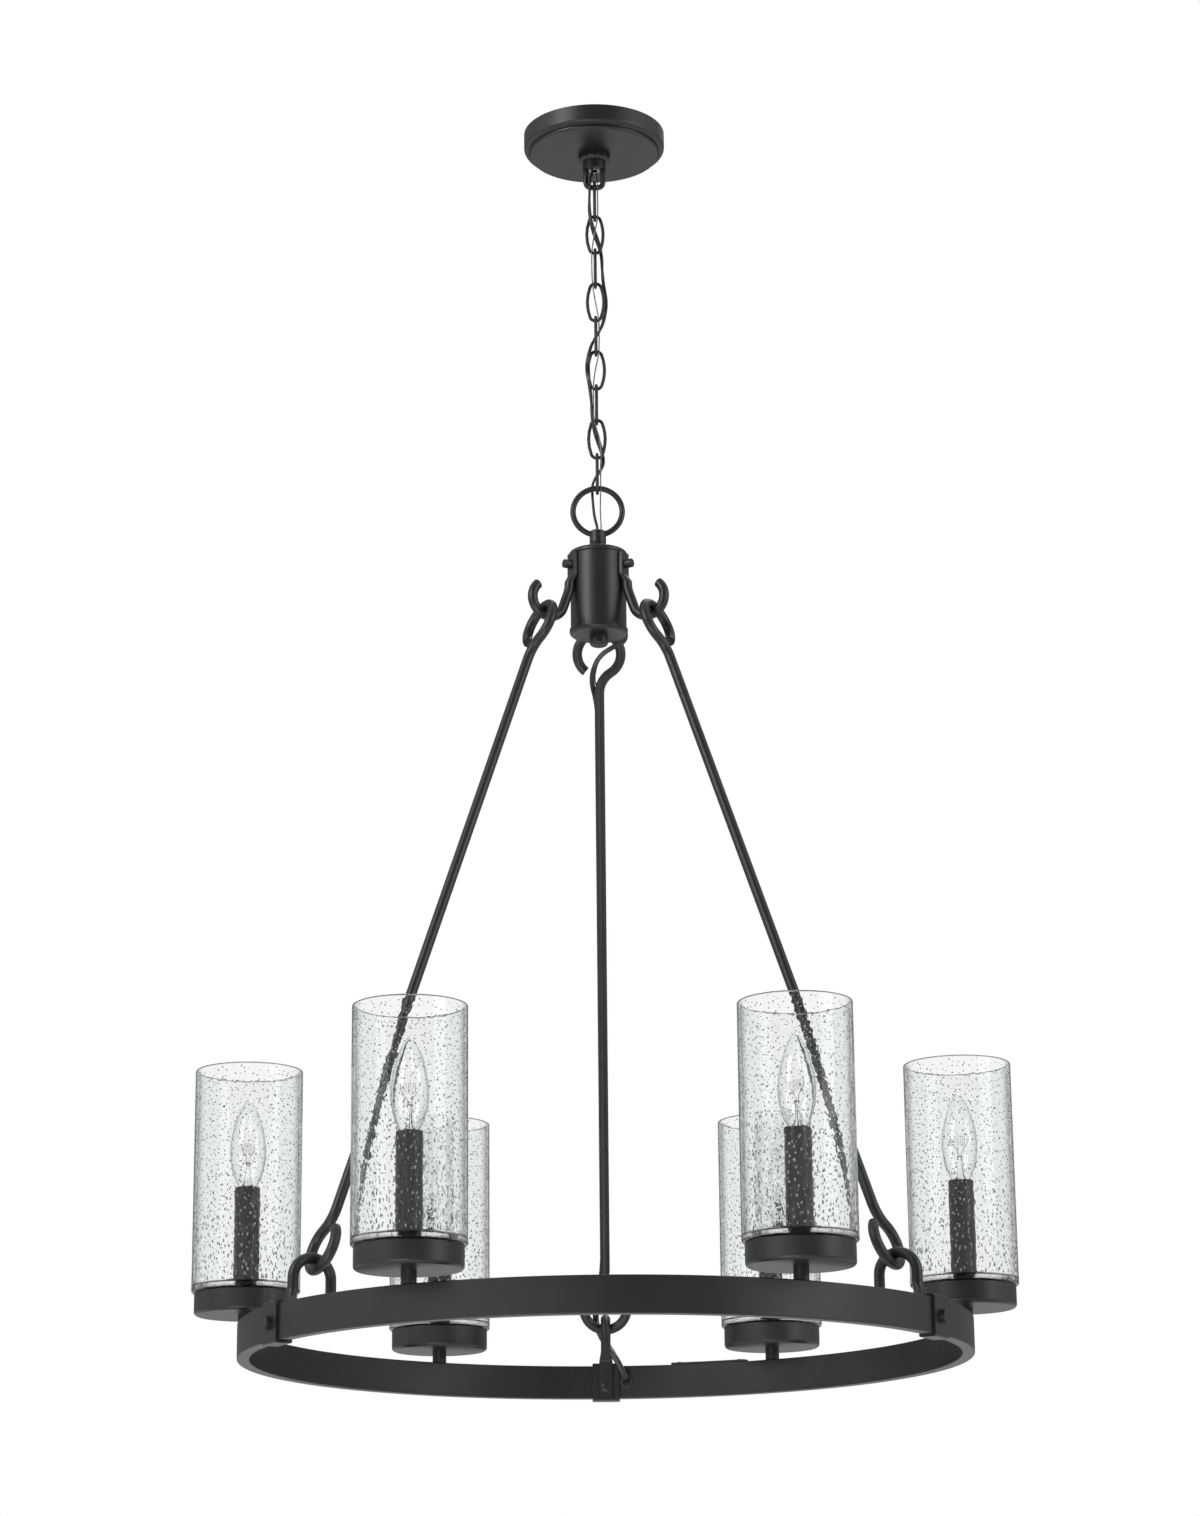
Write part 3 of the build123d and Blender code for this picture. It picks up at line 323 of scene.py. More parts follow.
def close_skin(obj, angle=35.0, fill=False):
    """Merges doubles, closes ends, points faces outwards and smooths the edges, broad faces staying flat."""
    pick(obj)
    bpy.ops.object.mode_set(mode="EDIT")
    bpy.ops.mesh.select_all(action="SELECT")
    bpy.ops.mesh.remove_doubles(threshold=DOUBLES)
    if fill:
        bpy.ops.mesh.fill_holes(sides=HOLE_SIDES)
    bpy.ops.mesh.select_all(action="SELECT")
    bpy.ops.mesh.normals_make_consistent(inside=False)
    bpy.ops.object.mode_set(mode="OBJECT")
    bpy.ops.object.shade_smooth_by_angle(angle=radians(angle))
    bpy.ops.object.modifier_add(type="WEIGHTED_NORMAL")
    obj.modifiers[-1].keep_sharp = True
    bpy.ops.object.modifier_apply(modifier=obj.modifiers[-1].name)


def edit_new(name):
    """Names the primitive just added, applies its place and opens it for editing, all selected."""
    obj = bpy.context.object
    obj.name = name
    bpy.ops.object.transform_apply(location=True, rotation=True, scale=True)
    bpy.ops.object.mode_set(mode="EDIT")
    bpy.ops.mesh.select_all(action="SELECT")
    return obj


def start_circle(name, sides, radius, spot, axis):
    """A circle round an axis, open for editing."""
    clear_choice()
    turn = axis.to_track_quat("Z", "Y").to_euler()
    bpy.ops.mesh.primitive_circle_add(
        vertices=sides, radius=radius * MM, location=spot * MM, rotation=turn
    )
    return edit_new(name)


def start_plane(name, middle, across, up, size):
    """A flat rectangle with its size along two directions, open for editing."""
    clear_choice()
    turn = Matrix((across, up, across.cross(up))).transposed().to_euler()
    bpy.ops.mesh.primitive_plane_add(size=1, location=middle * MM, rotation=turn)
    bpy.context.object.scale = (size[0] * MM, size[1] * MM, 1)
    return edit_new(name)


def push(spot, step, scale=1.0):
    """Extrudes what is selected by a step in mm, scales it about its new middle and returns that."""
    bpy.ops.mesh.extrude_region_move(TRANSFORM_OT_translate={"value": step * MM})
    spot = spot + step
    if scale != 1.0:
        bpy.ops.transform.resize(value=(scale, scale, scale), center_override=spot * MM)
    return spot


def turned(name, rings, origin=(0, 0, 0), axis=UP, sides=96, arc=5):
    """A turned piece: a circle extruded from ring to ring of (radius, height[, rounding]) along its axis.
    Rings that come back to the first one leave a bore, and others have their ends filled."""
    origin = Vector(origin)
    axis = Vector(axis).normalized()
    radius, height = rings[0][:2]
    spot = origin + axis * height
    obj = start_circle(name, sides, radius, spot, axis)
    for ring in rings[1:]:
        spot = push(spot, axis * (ring[1] - height), ring[0] / radius)
        radius, height = ring[:2]
    bpy.ops.mesh.select_all(action="SELECT")
    bpy.ops.mesh.remove_doubles(threshold=DOUBLES)
    if rings[0][:2] != rings[-1][:2]:
        bpy.ops.mesh.fill_holes(sides=HOLE_SIDES)
    for ring in rings:
        if len(ring) == 3:
            edges_where(obj, lambda spot: on_ring(spot / MM - origin, axis, ring))
            bpy.ops.mesh.bevel(offset=ring[2] * MM, segments=arc, affect="EDGES")
    close_skin(obj)
    return obj


def on_ring(spot, axis, ring):
    """Whether a point lies on a ring of (radius, height) round an axis."""
    height = spot.dot(axis)
    radius = (spot - axis * height).length
    return abs(height - ring[1]) < RING_REACH and abs(radius - ring[0]) < RING_REACH


def bent_bar(name, start, heading, turn_axis, moves, radius, sides=24, chamfer=(0, 0), finish=True):
    """A round bar pushed along runs (mm) and bends (radius mm, degrees): a circle extruded and spun."""
    spot = Vector(start)
    heading = Vector(heading).normalized()
    turn_axis = Vector(turn_axis).normalized()
    first = radius - chamfer[0]
    obj = start_circle(name, sides, first, spot, heading)
    if chamfer[0]:
        spot = push(spot, heading * chamfer[0], radius / first)
    for move in moves:
        if isinstance(move, tuple):
            bend, turn = move
            centre = spot + turn_axis.cross(heading) * bend * (1 if turn > 0 else -1)
            steps = max(3, round(abs(turn) / BEND_STEP))
            bpy.ops.mesh.spin(steps=steps, angle=-radians(turn), center=centre * MM, axis=turn_axis)
            swing = Matrix.Rotation(radians(turn), 3, turn_axis)
            spot = centre + swing @ (spot - centre)
            heading = swing @ heading
        else:
            spot = push(spot, heading * move)
    if chamfer[1]:
        push(spot, heading * chamfer[1], (radius - chamfer[1]) / radius)
    if finish:
        close_skin(obj, fill=True)
    else:
        bpy.ops.object.mode_set(mode="OBJECT")
    return obj


def flat_tab(name, centre, across, size, run, corner=0.9):
    """A forged tab: a plane with rounded corners, pushed along run, its start left as an open ring."""
    obj = start_plane(name, centre, across, run.normalized().cross(across), size)
    bpy.ops.mesh.bevel(offset=corner * MM, segments=5, affect="VERTICES")
    bpy.ops.mesh.select_all(action="SELECT")
    bpy.ops.mesh.delete(type="ONLY_FACE")
    bpy.ops.mesh.select_all(action="SELECT")
    push(centre, run)
    bpy.ops.mesh.edge_face_add()
    bpy.ops.object.mode_set(mode="OBJECT")
    return obj


def joined(name, objects):
    """Joins objects into the first one."""
    pick(*objects)
    bpy.ops.object.join()
    obj = bpy.context.object
    obj.name = name
    return obj


def weld_tab(name, bar, tab, tab_centre, bar_end):
    """Joins a bar's open end to a tab's open end with a loft."""
    obj = joined(name, [bar, tab])
    bpy.ops.object.mode_set(mode="EDIT")
    bpy.ops.mesh.select_mode(type="EDGE")
    bpy.ops.mesh.select_all(action="DESELECT")
    mesh = bmesh.from_edit_mesh(obj.data)
    for edge in mesh.edges:
        middle = (edge.verts[0].co + edge.verts[1].co) / 2 / MM
        near = min((middle - tab_centre).length, (middle - bar_end).length)
        edge.select = edge.is_boundary and near < WELD_REACH
    mesh.select_flush_mode()
    bmesh.update_edit_mesh(obj.data)
    bpy.ops.mesh.bridge_edge_loops(number_cuts=6, interpolation="SURFACE", smoothness=0.6)
    close_skin(obj, fill=True)
    return obj


def copy_of(obj, name, shift=(0, 0, 0), turn=0.0, pivot=(0, 0, 0)):
    """A copy with its own mesh, moved by shift and then turned about a vertical line through pivot."""
    pick(obj)
    bpy.ops.object.duplicate(linked=False)
    new = bpy.context.object
    new.name = name
    bpy.ops.transform.translate(value=Vector(shift) * MM)
    if turn:
        bpy.ops.transform.rotate(value=-radians(turn), orient_axis="Z", center_override=Vector(pivot) * MM)
    bpy.ops.object.transform_apply(location=True, rotation=True, scale=True)
    return new


def place(obj, body, finish, slot, *nodes):
    """Gives a finished piece its material and its body, and hides the solids it stands for; its slot is not
    used.
    """
    obj.data.materials.clear()
    obj.data.materials.append(MATERIALS[finish])
    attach(obj, body)
    if nodes:
        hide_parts(*nodes)
    return obj


def coated(obj, body, node):
    """Places a piece of the coated ironwork."""
    return place(obj, body, "coat", "black_coat", node)


def dress(node, finish):
    """A solid that stays as it is takes a better material."""
    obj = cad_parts[node]
    for holder in obj.material_slots:
        holder.material = MATERIALS[finish]
    if not obj.material_slots:
        obj.data.materials.append(MATERIALS[finish])


def radial(angle):
    """The outward direction at an angle round the ring."""
    return Vector((cos(radians(angle)), sin(radians(angle)), 0))


def sideways(angle):
    """The direction along the ring at an angle, anticlockwise from above."""
    return Vector((-sin(radians(angle)), cos(radians(angle)), 0))


def on_each_rod(obj, stem):
    """The rear rod's piece and its copies at the left and right rods, by side."""
    pieces = {"rear": obj}
    for side in ("left", "right"):
        pieces[side] = copy_of(obj, f"{stem}_{side}", turn=HOOK_ANGLES[side] - HOOK_ANGLES["rear"])
    return pieces


def lamp_spot(angle):
    """Where a lamp's axis crosses z = 0, in mm."""
    return radial(angle) * RING_RADIUS


class CHANDELIER_OT_ceiling_plate(bpy.types.Operator):
    """Makes the canopy, and gives the lock collar, the hanging loop and the fittings inside their finishes
    """

    bl_idname = "chandelier.ceiling_plate"
    bl_label = "Ceiling plate"

    def execute(self, context):
        make_materials(context.scene)
        rim_and_bead = [(65.6, 0), (65.6, -17.0, 3.5), (62.0, -17.0), (61.7, -17.9, 0.3), (60.9, -17.9)]
        face = [(60.6, -17.2), (60.2, -17.2), (60.2, -21.0, 1.8), (5.0, -21.0)]
        back = [(5.0, -19.6), (58.8, -19.6), (58.8, -15.6), (64.2, -15.6), (64.2, 0)]
        profile = [(64.2, 0)] + rim_and_bead + face + back
        canopy = turned("ceiling_canopy", profile, sides=160)
        coated(canopy, "ceiling_mount", "canopy")
        dress("canopy_collar", "coat")
        dress("canopy_loop", "coat")
        for node in ("mounting_crossbar", "threaded_nipple", "nipple_locknut"):
            dress(node, "zinc")
        return {"FINISHED"}


LINK_COUNT = 9
LINK_PITCH = 33.8
FIRST_LINK = -67.65


def link_centre(number):
    """Height of a link's middle, in mm."""
    return FIRST_LINK - (number - 1) * LINK_PITCH


class CHANDELIER_OT_chain(bpy.types.Operator):
    """Makes the nine bent links"""

    bl_idname = "chandelier.chain"
    bl_label = "Chain"

    def execute(self, context):
        make_materials(context.scene)
        radius = context.scene.chandelier_ironwork.link_wire / MM / 2
        half_width, half_length, end_radius, gap = 7.6, 18.55, 5.4, 0.5
        end_offset = half_length - end_radius
        side_radius = (end_offset**2 + half_width**2 - end_radius**2) / (2 * (half_width - end_radius))
        side_turn = degrees(atan2(end_offset, side_radius - half_width))
        cut = degrees(asin(gap / 2 / side_radius))
        bends = [
            (side_radius, side_turn - cut),
            (end_radius, 180 - 2 * side_turn),
            (side_radius, 2 * side_turn),
            (end_radius, 180 - 2 * side_turn),
            (side_radius, side_turn - cut),
        ]
        links = []
        for number in range(1, LINK_COUNT + 1):
            name = f"link_{number}"
            if number > 2:
                model = links[(number - 1) % 2]
                drop = link_centre(number) - link_centre(2 - number % 2)
                links.append(copy_of(model, name, shift=(0, 0, drop)))
                continue
            across = Vector((0, 1, 0)) if number == 1 else Vector((1, 0, 0))
            start = across * half_width + UP * (link_centre(number) + gap / 2)
            links.append(bent_bar(name, start, UP, across.cross(UP), bends, radius, sides=16))
        for number, link in enumerate(links, 1):
            coated(link, f"chain_link_{number}", f"chain_link_{number}")
        return {"FINISHED"}


# Share of its width that the cord loses between two links, and half the length in mm of the stretch round a
# joint where the cord passes from one body to the next
CORD_SQUEEZE = 0.25
CORD_BEND = 10.0

# Routes in mm: height is above a link's middle where a link is named
SUPPLY_TOP = [(-1.2, 0, -1.0), (-1.2, 0, -37.6), (-3.7, -4.2, -46.0), (-4.3, -5.0, -54.4)]
SUPPLY_WEAVE = [
    (1, -4.8, -4.8, 3.6), (1, -5.0, -4.2, -10.3), (2, -3.6, -4.0, 11.4), (2, 0.0, 0.0, 0.4),
    (2, 3.9, 3.6, -9.5), (2, 6.2, 4.7, -20.5), (3, 6.4, 3.6, -0.7), (3, 7.4, 4.3, -13.7),
    (4, 9.0, 4.7, 8.0), (4, 9.2, 4.7, -2.9), (4, 7.8, 4.3, -15.9), (5, 4.2, 1.5, 6.8),
    (5, 0.0, -0.3, -0.6), (5, -4.2, -2.2, -9.1), (6, -7.4, -4.7, 11.6), (6, -8.2, -4.9, -1.3),
    (6, -6.4, -4.5, -15.3), (7, -4.9, -3.6, 5.4), (7, -4.4, -3.7, -8.5), (8, -3.0, -3.7, 11.2),
    (8, 0.5, 0.0, 0.2), (8, 4.0, 3.7, -9.7), (8, 6.0, 4.7, -18.7), (9, 4.9, 3.2, 7.0),
    (9, 0.0, 0.3, -0.9), (9, -4.3, 2.2, -8.4), (9, -4.9, 5.6, -15.0),
]
SUPPLY_END = [
    (-4.2, 4.6, -364.0), (-3.2, 3.4, -377.0), (-1.3, 4.0, -384.5), (0, 4.4, -390.0),
    (0, 4.4, -426.5),
]
SUPPLY_ROUTE = (SUPPLY_TOP, SUPPLY_WEAVE, SUPPLY_END)
GROUND_TOP = [(1.6, 0, -1.0), (1.6, 0, -37.6), (2.4, -3.4, -46.0), (2.8, -4.2, -54.0)]
GROUND_WEAVE = [
    (1, 2.9, -3.6, 4.6), (1, 3.0, -3.2, -11.3), (2, 2.2, -4.4, 11.4), (2, -0.6, -5.2, -1.5),
    (3, -3.1, -3.6, 16.2), (3, -3.3, -2.8, -0.7), (4, -2.7, -3.2, 16.0), (4, -0.4, -3.6, 0.0),
    (5, 2.9, -3.2, 15.8), (5, 3.1, -4.0, -0.1), (6, 2.8, -3.4, 14.6), (6, -0.9, -3.2, -0.3),
    (7, -2.9, -5.6, 16.4), (7, -2.8, -6.2, 0.4), (8, -2.7, -6.5, 15.2), (8, 2.2, -4.6, 1.2),
    (9, 3.9, -3.4, 20.0), (9, 3.0, -3.0, 4.0), (9, 3.2, -4.2, -13.0),
]
GROUND_END = [(2.6, -2.0, -365.0), (2.6, 2.2, -379.0), (3.25, 4.4, -389.0), (3.25, 4.38, -426.5)]
GROUND_ROUTE = (GROUND_TOP, GROUND_WEAVE, GROUND_END)
ROD_CORD = [
    (12.0, 10.5, -478.5), (24.2, 22.4, -479.3), (24.5, 28.5, -489.0), (15.5, 42.0, -489.0),
    (0.3, 50.0, -496.0), (-6.3, 57.5, -509.0), (-6.9, 71.5, -517.0), (-3.2, 83.0, -528.0),
    (-0.8, 89.37, -551.33), (-0.8, 252.97, -1002.53), (-4.5, 277.0, -1044.0),
    (-11.2, 286.0, -1069.0), (-5.6, 288.0, -1086.0), (4.2, 287.0, -1100.0),
    (13.6, 289.0, -1115.0), (18.2, 292.5, -1126.4), (19.0, 306.7, -1127.0),
]
ROD_GROUND = [
    (10.0, 12.7, -478.5), (21.4, 24.5, -479.3), (22.0, 31.2, -487.0), (14.5, 44.4, -486.3),
    (2.2, 53.0, -493.3), (-3.4, 60.1, -507.0), (-4.2, 70.9, -514.3), (0.2, 83.6, -527.4),
    (2.2, 89.07, -551.43), (2.2, 252.67, -1002.63), (-1.4, 276.0, -1044.0),
    (-8.3, 286.1, -1068.0), (-3.0, 288.0, -1084.0), (6.8, 287.5, -1098.2),
    (15.8, 290.5, -1113.4), (20.6, 293.0, -1126.0), (21.2, 306.7, -1126.6),
]


def woven(top, weave, end):
    """A whole route from its top points, its points along the links and its end points."""
    return top + [(x, y, link_centre(link) + rise) for link, x, y, rise in weave] + end


def smooth_line(name, points):
    """Points along the smooth line that has the route's points as its control points, in metres."""
    curve = bpy.data.curves.new(name, "CURVE")
    curve.dimensions = "3D"
    spline = curve.splines.new("NURBS")
    spline.points.add(len(points) - 1)
    for control, point in zip(spline.points, points):
        control.co = (*(Vector(point) * MM), 1.0)
    spline.order_u = 3
    spline.use_endpoint_u = True
    spline.resolution_u = 10
    holder = bpy.data.objects.new(name, curve)
    bpy.context.scene.collection.objects.link(holder)
    bpy.context.view_layer.update()
    mesh = bpy.data.meshes.new_from_object(holder.evaluated_get(bpy.context.evaluated_depsgraph_get()))
    line = [v.co.copy() for v in mesh.vertices]
    bpy.data.meshes.remove(mesh)
    bpy.data.objects.remove(holder)
    bpy.data.curves.remove(curve)
    return line


def twin_section(width, thick):
    """Outline of a flat twin cord: two round cores side by side with a shallow groove between."""
    core = thick / 2
    offset = width / 2 - core
    right = [(offset + core * cos(a), core * sin(a)) for a in (radians(-112 + 32 * i) for i in range(8))]
    left = [(-x, -y) for x, y in right]
    return right + left


def round_section(radius):
    """Outline of a round wire."""
    return [(radius * cos(2 * pi * i / 10), radius * sin(2 * pi * i / 10)) for i in range(10)]


def cord_mesh(name, line, section, thin_at, width_at=None):
    """A tube along a line; thin_at gives the way its thin side faces, width_at the share of its width."""
    mesh = bmesh.new()
    rings = []
    for index, spot in enumerate(line):
        before = line[max(index - 1, 0)]
        after = line[min(index + 1, len(line) - 1)]
        along = (after - before).normalized()
        thin = thin_at(spot)
        thin = (thin - along * thin.dot(along)).normalized()
        wide = thin.cross(along)
        if width_at:
            wide = wide * width_at(spot)
        rings.append([mesh.verts.new(spot + wide * x + thin * y) for x, y in section])
    count = len(section)
    for lower, upper in zip(rings, rings[1:]):
        for i in range(count):
            mesh.faces.new((lower[i], lower[(i + 1) % count], upper[(i + 1) % count], upper[i]))
    mesh.faces.new(rings[0][::-1])
    mesh.faces.new(rings[-1])
    bmesh.ops.recalc_face_normals(mesh, faces=mesh.faces)
    data = bpy.data.meshes.new(name)
    mesh.to_mesh(data)
    mesh.free()
    obj = bpy.data.objects.new(name, data)
    bpy.context.scene.collection.objects.link(obj)
    pick(obj)
    bpy.ops.object.shade_smooth_by_angle(angle=radians(60))
    return obj


def stretch(line, high, low):
    """The part of a falling line between two heights in mm, with its ends cut at them."""
    inside = [p for p in line if low * MM <= p.z <= high * MM]
    cut = []
    for level in (high, low):
        for a, b in zip(line, line[1:]):
            if (a.z - level * MM) * (b.z - level * MM) < 0:
                cut.append((level, a.lerp(b, (level * MM - a.z) / (b.z - a.z))))
                break
    for level, spot in cut:
        if level == high:
            inside.insert(0, spot)
        else:
            inside.append(spot)
    return inside


def turn_in_chain(spot):
    """How far the links have turned at this height, a quarter turn from each link to the next."""
    place_in_chain = (FIRST_LINK - spot.z / MM) / LINK_PITCH
    return min(max(place_in_chain, 0.0), LINK_COUNT - 1) * pi / 2


def thin_in_chain(spot):
    """The cord's thin side turns with the links: along X beside one link and along Y beside the next."""
    turn = turn_in_chain(spot)
    return Vector((abs(cos(turn)) + 0.001, abs(sin(turn)), 0))


def squeezed_in_chain(spot):
    """The soft jacket is narrower where it is squeezed between two links, so that they can twist."""
    return 1 - CORD_SQUEEZE * sin(2 * turn_in_chain(spot)) ** 2


def thin_behind_rod(spot):
    """The cord lies flat on the back of the rod."""
    return Vector((0, 0.940, 0.341))


class CHANDELIER_OT_cords(bpy.types.Operator):
    """Makes the supply cord and its bare ground wire, down the chain and down the rear rod"""

    bl_idname = "chandelier.cords"
    bl_label = "Cords"

    def execute(self, context):
        make_materials(context.scene)
        cords = context.scene.chandelier_cords
        twin = twin_section(cords.cord_width, cords.cord_thick)
        bare = round_section(cords.wire_radius)
        runs = (
            (1.0, link_centre(1), "ceiling_mount", "chain_link_1", -53.4),
            (link_centre(1), link_centre(2), "chain_link_1", "chain_link_2", -86.2),
            (link_centre(2), link_centre(9), "chain_link_2", None, 0.0),
            (link_centre(9), -428.0, "chain_link_2", "hub", -356.6),
        )
        kinds = (
            ("supply", "supply_cord", twin, squeezed_in_chain, SUPPLY_ROUTE, "pvc", "cord_jacket"),
            ("ground", "ground_wire", bare, None, GROUND_ROUTE, "wire", "bare_wire"),
        )
        for label, node, section, width_at, route, finish, slot in kinds:
            line = smooth_line(label, woven(*route))
            for index, (high, low, body, other, hinge) in enumerate(runs, 1):
                run = stretch(line, high, low)
                piece = cord_mesh(f"{label}_run_{index}", run, section, thin_in_chain, width_at)
                start = (0, 0, (hinge + CORD_BEND) * MM)
                stop = (0, 0, (hinge - CORD_BEND) * MM)
                self.lead(piece, node, finish, slot, body, other, start, stop)
        rod_kinds = (
            ("rod_lead", "rod_cord", twin, ROD_CORD, "pvc", "cord_jacket"),
            ("rod_bare", "rod_ground_wire", bare, ROD_GROUND, "wire", "bare_wire"),
        )
        spans = (
            (-470.0, -600.0, "hub", "rod_rear", (0, 0.046, -0.480), (0, 0.080, -0.540)),
            (-600.0, -960.0, "rod_rear", None, None, None),
            (-960.0, -1130.0, "rod_rear", "ring", (0, 0.262, -1.040), (0, 0.284, -1.100)),
        )
        for label, node, section, points, finish, slot in rod_kinds:
            line = smooth_line(label, points)
            for index, (high, low, *motion) in enumerate(spans, 1):
                run = stretch(line, high, low)
                piece = cord_mesh(f"{label}_run_{index}", run, section, thin_behind_rod)
                self.lead(piece, node, finish, slot, *motion)
        return {"FINISHED"}

    def lead(self, piece, node, finish, slot, body, other, start, stop):
        """Places a stretch of cord: on its body where it rides on one, left unattached where it runs from
        one body to another.
        """
        piece.data.materials.append(MATERIALS[finish])
        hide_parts(node)
        if other:
            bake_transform(piece)
        else:
            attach(piece, body)


class CHANDELIER_OT_hub(bpy.types.Operator):
    """Makes the hub: ring, neck, cap, shell, base, nut, hooks and bolts"""

    bl_idname = "chandelier.hub"
    bl_label = "Hub"

    def execute(self, context):
        make_materials(context.scene)
        wire = context.scene.chandelier_ironwork.rod_wire / MM / 2
        ring_reach, ring_height = 22.4, -374.6
        ring_start = (ring_reach, 0, ring_height)
        ring = bent_bar("hub_hanging_ring", ring_start, UP, (0, -1, 0), [(ring_reach, 360)], 2.6)
        coated(ring, "hub", "hub_ring")
        neck = [(3.0, -393.5), (7.5, -393.5, 1.5), (7.5, -405.0, 0.5), (6.6, -407.25), (6.7, -409.2)]
        neck += [(7.1, -410.4), (7.8, -412.3), (8.8, -414.0), (3.0, -414.0)]
        cap = [(3.0, -414.0), (26.4, -414.0, 2.7), (26.4, -418.5, 0.6), (3.0, -418.5)]
        shell = [(23.2, -418.5), (25.2, -418.5), (25.2, -487.5), (23.2, -487.5), (23.2, -418.5)]
        base = [(3.0, -487.5), (26.35, -487.5, 0.4), (26.35, -493.0, 3.4), (3.0, -493.0)]
        nut = [(2.0, -493.0), (8.25, -493.0), (8.25, -503.0, 2.8), (2.0, -503.0)]
        turnings = (
            ("hub_turned_neck", "hub_neck", neck, 64, 5),
            ("hub_domed_cap", "hub_cap", cap, 128, 8),
            ("hub_tube", "hub_shell", shell, 128, 5),
            ("hub_foot_plate", "hub_base_plate", base, 128, 8),
            ("hub_foot_nut", "hub_base_nut", nut, 64, 6),
        )
        for name, node, rings, sides, arc in turnings:
            piece = turned(name, rings, sides=sides, arc=arc)
            coated(piece, "hub", node)
        dress("hub_stud", "zinc")

        rear = radial(90.0)
        facing = Vector((rear.y, -rear.x, 0))
        lean, lean_radius, inner_arc, outer_arc, reach = 20.0, 25.0, 15.5, 16.5, 51.34
        leg = 25.2 + wire + 0.3
        bottom = -482.44
        arc_start = reach - inner_arc * cos(radians(lean))
        arc_height = bottom + inner_arc * (1 - sin(radians(lean)))
        slant = (arc_start - leg - lean_radius * (1 - cos(radians(lean)))) / sin(radians(lean))
        lean_start = arc_height + slant * cos(radians(lean)) + lean_radius * sin(radians(lean))
        leg_top = lean_start + 1.0
        tab_low = leg_top + 9.0
        bar = bent_bar(
            "hub_hook_bar",
            rear * leg + UP * leg_top,
            -UP,
            facing,
            [1.0, (lean_radius, lean), slant, (inner_arc, 90 - lean), (outer_arc, 138.6)],
            wire,
            chamfer=(0, 0.4),
            finish=False,
        )
        tab_middle = rear * (25.3 + 1.5) + UP * tab_low
        tab = flat_tab("hub_hook_tab", tab_middle, sideways(90.0), (12.5, 4.0), UP * (-419.2 - tab_low))
        hook = weld_tab("hub_iron_hook_rear", bar, tab, tab_middle, rear * leg + UP * leg_top)
        bolt = turned(
            "hub_bolt",
            [(3.0, 21.0), (4.0, 21.0), (4.0, 35.7, 0.7), (1.0, 35.7)],
            origin=UP * -430.0,
            axis=rear,
            sides=32,
        )
        for side, piece in on_each_rod(hook, "hub_iron_hook").items():
            coated(piece, "hub", f"hub_hook_{side}")
        bolts = on_each_rod(bolt, "hub_bolt").values()
        coated(joined("hub_bolt_set", bolts), "hub", "hub_hook_bolts")
        return {"FINISHED"}


class CHANDELIER_OT_rods(bpy.types.Operator):
    """Makes the three rods with an open eye at each end"""

    bl_idname = "chandelier.rods"
    bl_label = "Rods"

    def execute(self, context):
        make_materials(context.scene)
        wire = context.scene.chandelier_ironwork.rod_wire / MM / 2
        upper = Vector((0, 53.803, -472.706))
        lower = Vector((0, 274.758, -1081.836))
        length = (upper - lower).length
        along = (upper - lower).normalized()
        across = sideways(90.0)
        eye, neck_run, free_angle = 20.0, 36.0, radians(-52.0)
        eye_height = length / 2 - eye
        shank = eye_height - neck_run
        neck_arc = (neck_run**2 - eye**2) / (2 * eye)
        neck_turn = degrees(atan2(neck_run, neck_arc))
        eye_turn = 180 + neck_turn - degrees(free_angle)
        middle = (upper + lower) / 2
        start = middle + across * eye * cos(free_angle) + along * (eye_height + eye * sin(free_angle))
        heading = across * -sin(free_angle) + along * cos(free_angle)
        moves = [(eye, eye_turn), (neck_arc, -neck_turn), 2 * shank, (neck_arc, neck_turn), (eye, -eye_turn)]
        rear = bent_bar("eye_rod_rear", start, heading, across.cross(along), moves, wire)
        right = copy_of(rear, "eye_rod_right", turn=HOOK_ANGLES["right"] - 90.0)
        left = copy_of(rear, "eye_rod_left")
        pick(left)
        bpy.ops.transform.mirror(constraint_axis=(True, False, False), center_override=(0, 0, 0))
        bpy.ops.transform.rotate(
            value=-radians(HOOK_ANGLES["left"] - 90.0), orient_axis="Z", center_override=(0, 0, 0)
        )
        bpy.ops.object.transform_apply(location=True, rotation=True, scale=True)
        close_skin(left)
        for side, piece in (("rear", rear), ("left", left), ("right", right)):
            coated(piece, f"rod_{side}", f"rod_{side}")
        return {"FINISHED"}


def ring_band(name, start_angle, sweep, outer, inner=None, corner=0.0, steps=6):
    """A band along the ring: a section (r low, r high, z low, z high) in mm, spun about the ring's axis."""
    r_low, r_high, z_low, z_high = outer
    out = radial(start_angle)
    middle = out * (r_low + r_high) / 2 + UP * (z_low + z_high) / 2
    obj = start_plane(name, middle, out, UP, (r_high - r_low, z_high - z_low))
    if corner:
        bpy.ops.mesh.bevel(offset=corner * MM, segments=4, affect="VERTICES")
        bpy.ops.mesh.select_all(action="SELECT")
    if inner:
        bpy.ops.mesh.inset(thickness=inner * MM)
        bpy.ops.mesh.delete(type="FACE")
        bpy.ops.mesh.select_all(action="SELECT")
    bpy.ops.mesh.spin(steps=steps, angle=-radians(sweep), center=(0, 0, 0), axis=(0, 0, 1))
    close_skin(obj, angle=40.0)
    return obj


